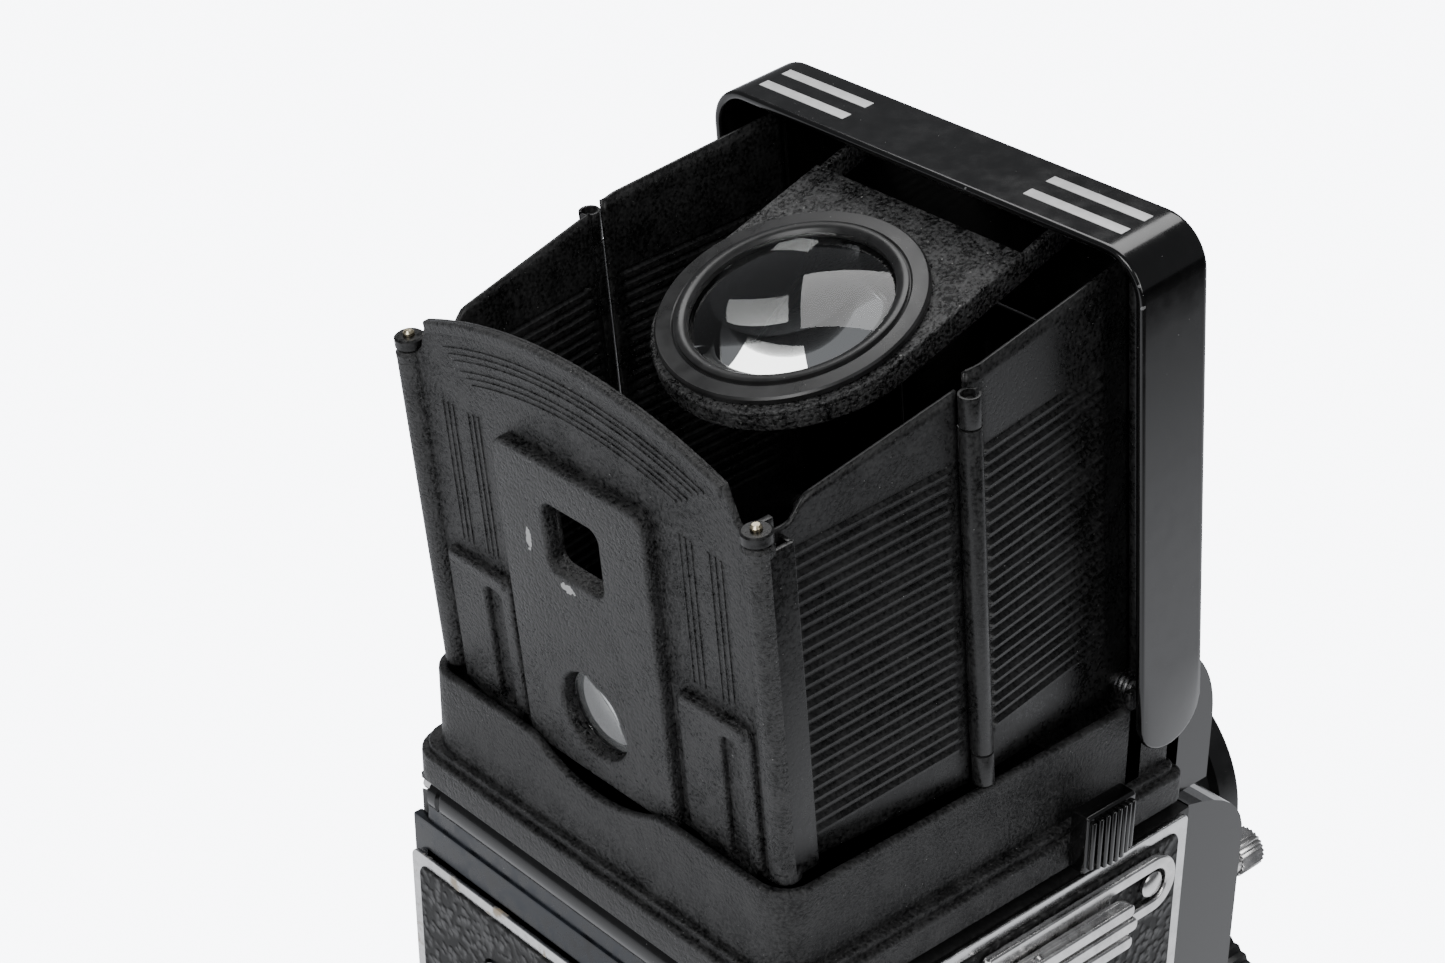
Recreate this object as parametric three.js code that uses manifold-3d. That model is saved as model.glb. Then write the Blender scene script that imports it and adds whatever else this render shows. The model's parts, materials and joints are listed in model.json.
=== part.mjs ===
// Twin lens reflex camera for 120 film, with its folding waist-level hood standing open.
// Millimetres. +Z is up, the lenses look along -Y, +X is the focusing-knob side.
// While it is built, Y = 0 is the rear face of the hood's base; the finished camera is
// then moved so that its box is centred on the origin and its feet stand at Z = 0.
import * as THREE from 'three';
import { mergeVertices } from 'three/addons/utils/BufferGeometryUtils.js';
import Module from 'manifold-3d';

const wasm = await Module();
wasm.setup();

// ---- driving dimensions -------------------------------------------------------------
const gap = 0.3;             // between neighbouring pieces
const runGap = 0.3;          // round a turning pin
const nick = 1;              // how far a cutter runs past the face it cuts
const bodyHalf = 37;         // camera body, half its width
const takingAxis = 47;       // taking lens and film gate, above the feet
const lensRadius = 20;
const rimDepth = 65;         // hood base, front to rear
const hoodTilt = 6;          // degrees that the open hood leans back
const lidTop = 66.2;         // open lid, above the rim of the hood's base
const bodyWall = 2.5;
const floorWall = 1.2;
const roofWall = 3;
const footHeight = 1.4;
const footRadius = 3;
const doorPlate = 1.5;
const doorFace = 1.4;        // Y of the back door's outer face
const sidePanel = 0.6;       // silver trim frame on the sides and the back
const leatherRise = 0.3;     // leather stands this much above its trim
const trimBorder = 1.8;
const barrelRadius = 2.9;    // hinge barrel across the top of the back door
const doorPinRadius = 1.2;
const rimWall = 1.3;
const rimRise = 12;          // rim above its ledge
const ledgeThick = 5.7;
const ledgeRear = 1.9;
const scoopHalf = 12;        // dip in the rear rim, under the rear eye lens
const scoopDepth = 3.2;
const screenThick = 1.6;
const lidDepth = 11.6;
const lidWall = 1.2;
const lidCorner = 6;
const lidPinBack = 5.8;      // lid pivot, forward of the lid's rear edge
const lidPinDrop = 1.8;      // and below rim height
const pinRadius = 1.2;
const springRadius = 2.1;
const springLength = 6;
const lidLeafAt = -6;        // lid hinges of the side leaves, forward of its rear edge
const kneeBulge = 2.1;       // middle hinges stand this far outside the straight line
const leafPlate = 0.8;
const kneeRadius = 1.4;
const kneePin = 0.5;
const postRadius = 1.9;
const postPin = 0.7;
const postRise = 2.1;        // post's foot above the rim
const kneeRise = 0.4;        // and the middle hinge's
const earPlate = 1.3;
const archRadius = 75;
const wallPlate = 1;
const padHalf = 13.9;
const padFoot = 8.6;
const padRise = 1.2;
const windowHalf = 5;
const windowHeight = 9.4;
const eyeLensRadius = 6;
const eyeLensHeight = 14.2;
const recessTop = 26;
const recessInner = 16;
const recessOuter = 27.5;
const loupeDroop = 13.5;     // degrees that the raised loupe hangs below the square
const loupePinAt = -7.6;
const loupePlateRise = 1.6;  // plate top above the pin
const loupeHalf = 18;
const loupeReach = 28.8;     // pin to lens axis
const loupeBack = 1.2;       // arm behind its pin
const loupeDepth = 4;        // plate top to the edge of its turned-down sides
const loupeWall = 1.1;
const loupeRingRadius = 17.1;
const loupeRingRise = 1.5;
const loupeGlassRadius = 13.4;
const loupePinRadius = 0.6;
const loupeEar = 1.4;        // lugs inside the lid that hold the loupe's pin
const flapHalf = 15;
const flapFoot = 11;
const flapHeight = 32;
const panelFoot = 3.6;
const panelThick = 12.5;     // front panel, face to its rear edge
const panelRound = 11;
const panelWall = 1.5;
const shroudWall = 1.2;
const shroudReach = 9;
const noseRound = 12;
const lensReach = 21.3;
const lensWall = 2;
const glassRadius = 12;
const lensBore = 15.4;       // holes behind the barrels
const plateThick = 1.5;
const wheelRadius = 12;
const wheelSpread = 26;
const wheelThick = 6.5;
const focusRadius = 18.5;
const focusReach = 11;
const shaftRadius = 3;
const crankDisc = 13;
const crankLength = 33;
const crankStud = 1.2;
const chartHalf = 20.5;      // exposure plate on the back door
const chartHeight = 56;
const spoolRadius = 12.2;
const spoolCore = 5.8;
const gateHeight = 56;
const gateThick = 2;
const railRise = 0.6;
const mirrorReach = 20.5;    // half the mirror's height, as it stands at 45 degrees
const lugHalf = 4.35;
const lugLength = 36;
const lugPlate = 1.2;
const clipRise = 1.8;
const lockHeight = 8.8;
const lockLength = 9;
const lockReach = 4;
const tripodRadius = 9;
const tripodBore = 3.1;

// ---- sizes that follow ---------------------------------------------------------------
const viewingAxis = takingAxis + 2 * lensRadius + 2;
const midAxis = (takingAxis + viewingAxis) / 2;
const bodyTop = viewingAxis + mirrorReach + roofWall + 4.2;
const bodyFront = -(rimDepth + 6);
const doorInner = doorFace - doorPlate;
const shellRear = doorInner - gap;
const shellFoot = footHeight + doorPlate + gap;
const hingeAt = [doorInner - 1.5, bodyTop - 1.8];
const hingeClear = barrelRadius + 1;           // round the hinge barrel
const sideFace = bodyHalf + gap + sidePanel + leatherRise + gap;   // behind knobs and lugs
const rimHalf = bodyHalf - 2.5;
const ledgeHalf = bodyHalf - gap;
const ledgeBottom = bodyTop + 1.6;
const ledgeTop = ledgeBottom + ledgeThick;
const ledgeFront = bodyFront + 0.7;
const rimTop = ledgeTop + rimRise;
const screenWidth = 2 * (bodyHalf - 7.5);
const screenLength = rimDepth - 12;
const screenMiddle = bodyFront / 2 + 4;        // Y of the screen and of the mirror under it
const hoodFoot = 5.6 - rimDepth;               // Y of the lid's rear edge at rim height
const lidHalf = bodyHalf;
const hoodLean = THREE.MathUtils.degToRad(hoodTilt);
const postHalf = rimHalf - postRadius - 1.45;  // rear corner posts, and the leaves' lid hinges
const kneeHalf = postHalf + kneeBulge;
const postAt = -hoodFoot - 4;
const postTop = lidTop - 12.6;
const kneeAt = (lidLeafAt + postAt) / 2;
const postFoot = postAt * Math.tan(hoodLean) + postRise;
const kneeFoot = kneeAt * Math.tan(hoodLean) + kneeRise;
const leafRoot = lidTop - 4;                   // leaf's top edge at the lid
const leafKnee = lidTop - 5.9;                 // and at the middle hinge
const archPeak = lidTop - 2.2;
const padTop = postTop - 4;
const windowFoot = padTop - 15.4;
const loupePinHeight = lidTop - 6;
const loupePinHalf = loupeHalf + loupeEar + 0.2;
const panelHalf = bodyHalf - 1;
const panelTop = bodyTop - 0.8;
const panelBack = bodyFront - 1.2;
const panelFace = panelBack - panelThick;
const plateBack = panelFace - gap;
const releaseAt = [8 - panelHalf, panelFoot + 10.4];
const timerAt = [panelHalf - 10, panelFoot + 20.4];
const noseHalf = bodyHalf - 3;
const noseFace = bodyFront - 7.1;
const noseTop = rimTop + 2.6;
const focusAt = [screenMiddle - 10.5, takingAxis + 15];   // Y, Z of each shaft
const crankAt = [screenMiddle - 4.5, takingAxis + 21];
const crankEnd = [crankAt[0], crankAt[1] - crankLength + 4];
const takeUpAt = [shellRear - spoolRadius - 1.2, takingAxis + gateHeight / 2 + spoolRadius + 0.4];
const supplyAt = [bodyFront + 17, shellFoot + floorWall + spoolRadius + gap];
const spoolHalf = bodyHalf - bodyWall - 4;
const gateWidth = 2 * spoolHalf - 5;
const gateAt = doorInner - 6.9;                // Y of the film gate's front
const lugMiddle = bodyTop - 6.7;
const lugFront = bodyFront + 5;
const lugRear = lugFront + lugLength;
const lockFoot = ledgeBottom + 0.9;
const lockAt = [bodyFront + 15, bodyFront + 15 + lockLength];
const chartTop = bodyTop - 20;
const chartFoot = chartTop - chartHeight;
const leafLength = Math.hypot(kneeAt - lidLeafAt, kneeBulge);
const leafSplay = Math.atan2(kneeBulge, kneeAt - lidLeafAt);
const sides = { left: 1, right: -1 };

// ---- solid modelling ------------------------------------------------------------------
function toSolid(geometry) {
  const bare = geometry.clone();
  ['normal', 'uv'].forEach((name) => bare.deleteAttribute(name));
  const welded = mergeVertices(bare, 1e-4);
  const vertProperties = new Float32Array(welded.attributes.position.array);
  const triVerts = new Uint32Array(welded.index.array);
  return new wasm.Manifold(new wasm.Mesh({ numProp: 3, vertProperties, triVerts }));
}

function toGeometry(solid) {
  const { vertProperties, triVerts } = solid.getMesh();
  const geometry = new THREE.BufferGeometry();
  geometry.setAttribute('position', new THREE.BufferAttribute(vertProperties, 3));
  geometry.setIndex(new THREE.BufferAttribute(triVerts, 1));
  geometry.computeVertexNormals();
  return geometry;
}

const join = (first, ...rest) => rest.reduce((sum, solid) => sum.add(solid), first);
const cut = (first, ...rest) => rest.reduce((sum, solid) => sum.subtract(solid), first);

function block(x, y, z) {
  const [[x0, x1], [y0, y1], [z0, z1]] = [x, y, z].map((range) => [...range].sort((a, b) => a - b));
  const box = new THREE.BoxGeometry(x1 - x0, y1 - y0, z1 - z0);
  return toSolid(box.translate((x0 + x1) / 2, (y0 + y1) / 2, (z0 + z1) / 2));
}

// Each frame's columns say where a drawing's two axes and its depth go.
const axisX = new THREE.Vector3(1, 0, 0);
const axisY = new THREE.Vector3(0, 1, 0);
const axisZ = new THREE.Vector3(0, 0, 1);
const frames = {
  x: new THREE.Matrix4().makeBasis(axisY, axisZ, axisX),
  y: new THREE.Matrix4().makeBasis(axisX, axisZ, axisY.clone().negate()),
  z: new THREE.Matrix4().makeBasis(axisX, axisY, axisZ),
};

// Draws in (Y, Z), (X, Z) or (X, Y) and gives the drawing depth along X, Y or Z.
function extrude(shape, axis, [from, to], curveSegments = 6) {
  const [low, high] = axis === 'y' ? [-Math.max(from, to), -Math.min(from, to)]
    : [Math.min(from, to), Math.max(from, to)];
  const settings = { depth: high - low, bevelEnabled: false, curveSegments };
  const geometry = new THREE.ExtrudeGeometry(shape, settings).translate(0, 0, low);
  return toSolid(geometry.applyMatrix4(frames[axis]));
}

function rounded([x0, x1], [y0, y1], ...radii) {
  const [a, b = a, c = b, d = c] = radii;   // corners: low-low, high-low, high-high, low-high
  const shape = new THREE.Shape();
  shape.moveTo(x0 + a, y0).lineTo(x1 - b, y0);
  if (b) shape.absarc(x1 - b, y0 + b, b, -Math.PI / 2, 0);
  shape.lineTo(x1, y1 - c);
  if (c) shape.absarc(x1 - c, y1 - c, c, 0, Math.PI / 2);
  shape.lineTo(x0 + d, y1);
  if (d) shape.absarc(x0 + d, y1 - d, d, Math.PI / 2, Math.PI);
  shape.lineTo(x0, y0 + a);
  if (a) shape.absarc(x0 + a, y0 + a, a, Math.PI, 1.5 * Math.PI);
  return shape;
}

function outline(points) {
  return new THREE.Shape(points.map(([a, b]) => new THREE.Vector2(a, b)));
}

function rod(axis, radius, [from, to], [a, b], sections = 16) {
  const circle = new THREE.Shape();
  circle.absarc(a, b, radius, 0, 2 * Math.PI);
  return extrude(circle, axis, [from, to], sections);
}

// Turns (radius, station) points about a line along X, Y or Z. Points that start and end
// on the line make a solid of revolution; a loop that stays off it makes a ring.
function turned(axis, points, [a, b], sections = 24) {
  const loop = points.map(([radius, station]) => new THREE.Vector2(radius, station));
  if (points[0][0] > 0) loop.push(loop[0].clone());
  if (THREE.ShapeUtils.area(loop) < 0) loop.reverse();
  const lathe = new THREE.LatheGeometry(loop, sections);
  if (axis === 'x') lathe.rotateZ(-Math.PI / 2).translate(0, a, b);
  if (axis === 'y') lathe.translate(a, 0, b);
  if (axis === 'z') lathe.rotateX(Math.PI / 2).translate(a, b, 0);
  return toSolid(lathe);
}

const camera = new THREE.Group();
const hood = new THREE.Group();   // leans back; its Y runs to the rear and its Z up the lid
hood.position.set(0, hoodFoot, rimTop);
hood.rotation.x = -hoodLean;
camera.add(hood);

const looks = {
  shell: { color: 0x17181a, roughness: 0.45, metalness: 0.2 },
  crackle: { color: 0x1b1c1e, roughness: 0.7, metalness: 0.1 },
  gloss: { color: 0x0a0a0b, roughness: 0.15, metalness: 0.2 },
  satin: { color: 0x141416, roughness: 0.5, metalness: 0.2 },
  leather: { color: 0x121213, roughness: 0.75, metalness: 0 },
  nickel: { color: 0xc9c9c6, roughness: 0.25, metalness: 1 },
  brass: { color: 0xb7a071, roughness: 0.35, metalness: 1 },
  steel: { color: 0x8f9092, roughness: 0.35, metalness: 1 },
  glass: { color: 0xdfe6ea, roughness: 0.02, metalness: 0, transparent: true, opacity: 0.35 },
  screen: { color: 0xc9cccd, roughness: 0.5, metalness: 0 },
  mirror: { color: 0xe6e8ea, roughness: 0.03, metalness: 1 },
  film: { color: 0x1d1d1f, roughness: 0.6, metalness: 0 },
};

function part(name, solid, look, parent = camera) {
  const mesh = new THREE.Mesh(toGeometry(solid), new THREE.MeshStandardMaterial(looks[look]));
  mesh.name = name;
  parent.add(mesh);
  return mesh;
}

// ---- body ---------------------------------------------------------------------------
function buildBodyShell() {
  const screenRim = 3;         // roof that carries the focusing screen's edge, at the sides
  const screenLip = 2;         // and at the front and rear
  const lensClear = 3;
  const inner = bodyHalf - bodyWall;
  const roof = bodyTop - roofWall;
  const outer = block([-bodyHalf, bodyHalf], [bodyFront, shellRear], [shellFoot, bodyTop]);
  const cavity = block([-inner, inner], [bodyFront + bodyWall, nick], [shellFoot + floorWall, roof]);
  const half = screenWidth / 2 - screenRim;
  const reach = screenLength / 2 - screenLip;
  const screenHole = block([-half, half], [screenMiddle - reach, screenMiddle + reach],
    [roof - nick, bodyTop + nick]);
  const [hingeY, hingeZ] = hingeAt;
  const clear = barrelRadius + gap;
  const hingeSeat = block([-rimHalf, rimHalf], [hingeY - clear, nick], [hingeZ - clear, bodyTop + nick]);
  const pinHole = rod('x', doorPinRadius + runGap, [-bodyHalf - nick, bodyHalf + nick], hingeAt, 5);
  const lensHole = (z) => rod('y', glassRadius + lensClear,
    [bodyFront - nick, bodyFront + bodyWall + nick], [0, z], 10);
  const tripodHole = rod('z', tripodRadius + gap, [0, shellFoot + floorWall + nick], [0, screenMiddle], 10);
  return cut(join(outer, buildShroud()), cavity, screenHole, hingeSeat, pinHole,
    lensHole(takingAxis), lensHole(viewingAxis), tripodHole, ...shaftHoles());
}

// Four-sided sleeve inside the front panel; it keeps light out wherever the panel stands.
function buildShroud() {
  const outside = panelHalf - panelWall - gap;
  const inside = outside - shroudWall;
  const [foot, top] = [panelFoot + 3, panelTop - panelRound - 1];
  const front = bodyFront - shroudReach;
  const sleeve = block([-outside, outside], [front, bodyFront + nick], [foot, top]);
  const room = block([-inside, inside], [front - nick, bodyFront], [foot + shroudWall, top - shroudWall]);
  return cut(sleeve, room);
}

// Holes in the two side walls for the knobs' and the crank's shafts.
function shaftHoles() {
  const left = [bodyHalf - bodyWall - nick, bodyHalf + nick];
  const right = left.map((x) => -x);
  return [[left, focusAt], [left, takeUpAt], [left, supplyAt], [right, crankAt], [right, takeUpAt]]
    .map(([range, at]) => rod('x', shaftRadius + gap, range, at, 5));
}

function buildMirror() {
  const sheet = 1.4;
  const border = 1.5;          // between the mirror's sides and the screen's
  const [y, z] = [screenMiddle - 1.5, viewingAxis];
  const [low, high] = [-mirrorReach, mirrorReach];
  const face = outline([[y + low, z + low], [y + high, z + high],
    [y + high, z + high - sheet], [y + low, z + low - sheet]]);
  const half = screenWidth / 2 - border;
  return extrude(face, 'x', [-half, half]);
}

function buildFilmGate() {
  const border = [5, 2];       // plate beyond the opening, sideways and upwards
  const railWidth = 1;
  const railRoot = 0.2;
  const [half, tall] = [gateWidth / 2, gateHeight / 2];
  const opening = [takingAxis - tall, takingAxis + tall];
  const face = gateAt + gateThick;
  const plate = block([-half - border[0], half + border[0]], [gateAt, face],
    [opening[0] - border[1], opening[1] + border[1]]);
  const hole = block([-half, half], [gateAt - nick, face + nick], opening);
  const across = [half + railWidth, half + 2 * railWidth];
  const rails = Object.values(sides).map((side) => block(
    across.map((x) => side * x), [face - railRoot, face + railRise], opening));
  return join(cut(plate, hole), ...rails);
}

// Four-sided horn between the taking lens and the film gate.
function buildLightCone() {
  const wall = 1;
  const narrow = 13;
  const [front, rear] = [bodyFront + bodyWall + gap, gateAt - gap];
  const horn = (swell, y0, y1) => {
    const slope = (gateHeight / 2 - narrow) / (rear - front);
    const [low, high] = [y0, y1].map((y) => (narrow + slope * (y - front) + swell) * Math.SQRT2);
    const widen = (gateWidth / 2 + swell) / (gateHeight / 2 + swell);
    const geometry = new THREE.CylinderGeometry(high, low, y1 - y0, 4, 1).rotateY(Math.PI / 4);
    return toSolid(geometry.scale(widen, 1, 1).translate(0, (y0 + y1) / 2, takingAxis));
  };
  return cut(horn(wall, front, rear), horn(0, front - nick, rear + nick));
}

function buildSpool(at) {
  const flange = 1.6;
  const driveRadius = 2.2;
  const core = rod('x', spoolCore, [-spoolHalf, spoolHalf], at, 8);
  const ends = Object.values(sides).map((side) => rod('x', spoolRadius,
    [side * spoolHalf, side * (spoolHalf - flange)], at, 12));
  const drive = rod('x', driveRadius, [-spoolHalf - nick, spoolHalf + nick], at, 5);
  return cut(join(core, ...ends), drive);
}

// A side's silver trim frame with its leather, cut round the knobs, the crank and the lug.
function buildSidePanel(side) {
  const shaftRoom = 4;
  const trimCorner = 1;
  const leatherCorner = 1.5;
  const base = side * (bodyHalf + gap);
  const [front, rear] = [bodyFront + 1.1, shellRear - 1.5];
  const [foot, top] = [shellFoot + 1, bodyTop];
  const trim = extrude(rounded([front, rear], [foot, top], trimCorner), 'x',
    [base, base + side * sidePanel], 3);
  const inset = rounded([front + trimBorder, rear - trimBorder], [foot + trimBorder, top - trimBorder],
    leatherCorner);
  const leather = extrude(inset, 'x', [base, base + side * (sidePanel + leatherRise)], 3);
  const reach = [side * bodyHalf, side * (sideFace + nick)];
  const holes = side > 0 ? [focusAt, takeUpAt, supplyAt] : [crankAt];
  const hinge = block(reach, [hingeAt[0] - hingeClear, nick], [hingeAt[1] - hingeClear, bodyTop + nick]);
  return cut(join(trim, leather), hinge, ...holes.map((at) => rod('x', shaftRoom, reach, at, 8)));
}

// Slotted plate at the top of each side, where the strap hooks on.
function buildLug(side) {
  const border = 1.9;          // metal round the slot
  const slotEnd = 13;
  const [endCorner, slotCorner] = [0.6, 0.4];
  const base = side * sideFace;
  const [foot, top] = [lugMiddle - lugHalf, lugMiddle + lugHalf];
  const nose = lugHalf - 0.1;
  const plate = rounded([lugFront, lugRear], [foot, top], nose, endCorner, endCorner, nose);
  const slotNose = lugHalf - border - 0.1;
  const slot = rounded([lugFront + border, lugFront + slotEnd], [foot + border, top - border],
    slotNose, slotCorner, slotCorner, slotNose);
  const depth = [base - side * nick, base + side * (lugPlate + nick)];
  return cut(extrude(plate, 'x', [base, base + side * lugPlate], 6), extrude(slot, 'x', depth, 6));
}

// Ribbed end fitting of the strap, snapped over the lug.
function buildClip(side) {
  const nose = 3;
  const tail = 0.8;
  const grooveHalf = 0.55;
  const grooveDepth = 0.9;
  const [start, grooveStart] = [lugFront + 9.5, lugFront + 12.5];
  const base = side * (sideFace + lugPlate + gap);
  const [foot, top] = [lugMiddle - 6, lugMiddle + 2];
  const body = extrude(rounded([start, lugRear], [foot, top], nose, tail, tail, nose), 'x',
    [base, base + side * clipRise], 4);
  const grooves = [1, 2].map((i) => {
    const middle = foot + (i / 3) * (top - foot);
    return extrude(rounded([grooveStart, lugRear + nose], [middle - grooveHalf, middle + grooveHalf],
      grooveHalf - 0.05), 'x', [base + side * grooveDepth, base + side * (clipRise + nick)], 2);
  });
  return cut(body, ...grooves);
}

function buildTripodBush() {
  const sleeveWall = 1.5;
  const sleeveHeight = 7;
  const at = [0, screenMiddle];
  const flange = rod('z', tripodRadius, [shellFoot, shellFoot + floorWall], at, 10);
  const sleeve = rod('z', tripodBore + sleeveWall, [shellFoot, shellFoot + sleeveHeight], at, 8);
  return cut(join(flange, sleeve), rod('z', tripodBore, [0, shellFoot + sleeveHeight + nick], at, 8));
}

function buildFrontHousing() {
  const brow = 5;              // how far the curve's pull stays below the top
  const ledge = 1.5;           // level part at the rear of the top
  const frame = { side: 6, foot: 3, corner: 2, depth: 0.5 };   // sunk panel on the face
  const shape = new THREE.Shape();
  const back = bodyFront - gap;
  const foot = bodyTop;
  shape.moveTo(back, foot).lineTo(noseFace, foot).lineTo(noseFace, noseTop - noseRound);
  shape.quadraticCurveTo(noseFace, noseTop - brow, back - ledge, noseTop).lineTo(back, noseTop);
  const nose = extrude(shape, 'x', [-noseHalf, noseHalf], 8);
  const half = noseHalf - frame.side;
  const plate = rounded([-half, half], [foot + frame.foot, noseTop - noseRound + nick], frame.corner);
  return cut(nose, extrude(plate, 'y', [noseFace - nick, noseFace + frame.depth], 3));
}

// Round window over the frame counter, above the crank.
function buildWindow() {
  const radius = 4;
  const thick = 1;
  const [forward, above] = [16, 24];   // from the crank's shaft
  const at = [crankAt[0] - forward, crankAt[1] + above];
  return rod('x', radius, [-sideFace, -sideFace - thick], at, 8);
}

// ---- back door ----------------------------------------------------------------------
function buildDoor() {
  const [hingeY, hingeZ] = hingeAt;
  const bevel = { foot: 8.5, top: 1, rear: 0.6, root: 1.5 };   // shoulder under the barrel
  const [footFront, footRear, footInset, footRoot] = [8, 6, 7, 0.5];
  const length = rimHalf - gap;
  const barrel = rod('x', barrelRadius, [-length, length], hingeAt, 10);
  const shoulder = extrude(outline([[doorInner, footHeight], [doorFace, footHeight],
    [doorFace, hingeZ - bevel.foot], [hingeY + barrelRadius - bevel.rear, hingeZ - bevel.top],
    [hingeY, hingeZ - bevel.root], [doorInner, hingeZ - barrelRadius - gap]]), 'x', [-length, length]);
  const skirt = block([-bodyHalf, bodyHalf], [doorInner, doorFace], [footHeight, hingeZ - hingeClear]);
  const base = block([-bodyHalf, bodyHalf], [bodyFront + 3, doorFace], [footHeight, footHeight + doorPlate]);
  const feet = Object.values(sides).flatMap((side) => [bodyFront + footFront, -footRear].map(
    (y) => rod('z', footRadius, [0, footHeight + footRoot], [side * (bodyHalf - footInset), y], 6)));
  const opening = rod('z', tripodRadius + 3, [-nick, shellFoot], [0, screenMiddle], 12);
  const pin = rod('x', doorPinRadius + runGap, [-bodyHalf, bodyHalf], hingeAt, 5);
  return cut(join(barrel, shoulder, skirt, base, ...feet), opening, pin);
}

function buildBackPanel() {
  const corner = 1.2;
  const base = doorFace + gap;
  const [half, foot, top] = [bodyHalf - 0.4, footHeight + 1.5, hingeAt[1] - 9];
  const trim = extrude(rounded([-half, half], [foot, top], corner), 'y', [base, base + sidePanel], 3);
  const insetHalf = half - trimBorder;
  const inset = rounded([-insetHalf, insetHalf], [foot + trimBorder, top - trimBorder], corner);
  const leather = extrude(inset, 'y', [base, base + sidePanel + leatherRise], 3);
  const chart = block([-chartHalf - gap, chartHalf + gap], [base + sidePanel, base + sidePanel + nick],
    [chartFoot - gap, chartTop + gap]);
  return cut(join(trim, leather), chart);
}

function buildExposurePlate() {
  const thick = 0.5;
  const corner = 2;
  const base = doorFace + gap + sidePanel + gap;
  const shape = rounded([-chartHalf, chartHalf], [chartFoot, chartTop], corner);
  return extrude(shape, 'y', [base, base + thick], 3);
}

function buildPressurePlate() {
  const thick = 1.2;
  const guide = { radius: 2, at: 20, length: 1.4 };
  const front = gateAt + gateThick + railRise + gap;
  const half = gateWidth / 2 + 3;
  const plate = block([-half, half], [front, front + thick], [takingAxis - 34, takingAxis + 30]);
  const guides = Object.values(sides).map((side) => rod('y', guide.radius,
    [front + thick / 2, front + thick + guide.length], [side * guide.at, takingAxis], 6));
  return join(plate, ...guides);
}

function buildLatchRing() {
  const at = [0, screenMiddle];
  const ringWall = 4;
  const lever = { half: 4, root: 4, end: 15 };   // forward of the ring's hole
  const level = [0.3, footHeight - gap];
  const ring = rod('z', tripodRadius + 3 + ringWall, level, at, 14);
  const tab = block([-lever.half, lever.half],
    [screenMiddle - tripodRadius - lever.end, screenMiddle - tripodRadius - lever.root], level);
  return cut(join(ring, tab), rod('z', tripodRadius + 3, [-nick, footHeight + nick], at, 12));
}

// ---- hood base ----------------------------------------------------------------------
function lidPinAt() {
  const pin = new THREE.Vector3(0, -lidPinBack, -lidPinDrop);
  return pin.applyAxisAngle(axisX, -hoodLean).add(hood.position);
}

function buildHoodFrame() {
  const [frontCorner, rearCorner] = [2, 5];
  const ear = { half: 3.2, back: 5, corner: 3 };   // stands up round the lid's pin
  const pin = lidPinAt();
  const inner = rimHalf - rimWall;
  const ledge = extrude(rounded([-ledgeHalf, ledgeHalf], [ledgeFront, ledgeRear],
    frontCorner, frontCorner, rearCorner, rearCorner), 'z', [ledgeBottom, ledgeTop], 4);
  const skirt = block([-rimHalf - 0.5, rimHalf + 0.5], [ledgeFront + nick, hingeAt[0] - hingeClear],
    [bodyTop + gap, ledgeBottom + nick]);
  const rim = extrude(rounded([-rimHalf, rimHalf], [-rimDepth, 0], frontCorner, frontCorner, rearCorner,
    rearCorner), 'z', [ledgeTop - nick, rimTop], 4);
  const ears = Object.values(sides).map((side) => extrude(rounded([pin.y - ear.half, -rimDepth + ear.back],
    [ledgeTop - nick, pin.z + ear.half], 0, 0, 0, ear.corner), 'x', [side * inner, side * rimHalf], 4));
  const wellCorner = rearCorner - rimWall;
  const well = extrude(rounded([-inner, inner], [-rimDepth + rimWall, -rimWall], 1, 1, wellCorner,
    wellCorner), 'z', [ledgeTop, rimTop + rimRise], 3);
  const half = screenWidth / 2 + nick;
  const reach = screenLength / 2 + nick;
  const opening = block([-half, half], [screenMiddle - reach, screenMiddle + reach],
    [bodyTop - nick, ledgeTop + nick]);
  const frontGap = block([-inner, inner], [pin.y - 4, -rimDepth + rimWall + nick],
    [ledgeTop, rimTop + nick]);
  const holes = rod('x', pinRadius + runGap, [-bodyHalf, bodyHalf], [pin.y, pin.z], 5);
  return cut(join(ledge, skirt, rim, ...ears), well, opening, frontGap, holes, buildScoop());
}

// The dip is an arc whose ends meet the rim's top edge.
function buildScoop() {
  const radius = (scoopHalf ** 2 + scoopDepth ** 2) / (2 * scoopDepth);
  return rod('y', radius, [-rimWall - nick, nick], [0, rimTop - scoopDepth + radius], 40);
}

function buildLidPin() {
  const pin = lidPinAt();
  const half = lidHalf - lidWall + 0.3;
  return rod('x', pinRadius, [-half, half], [pin.y, pin.z], 5);
}

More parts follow.
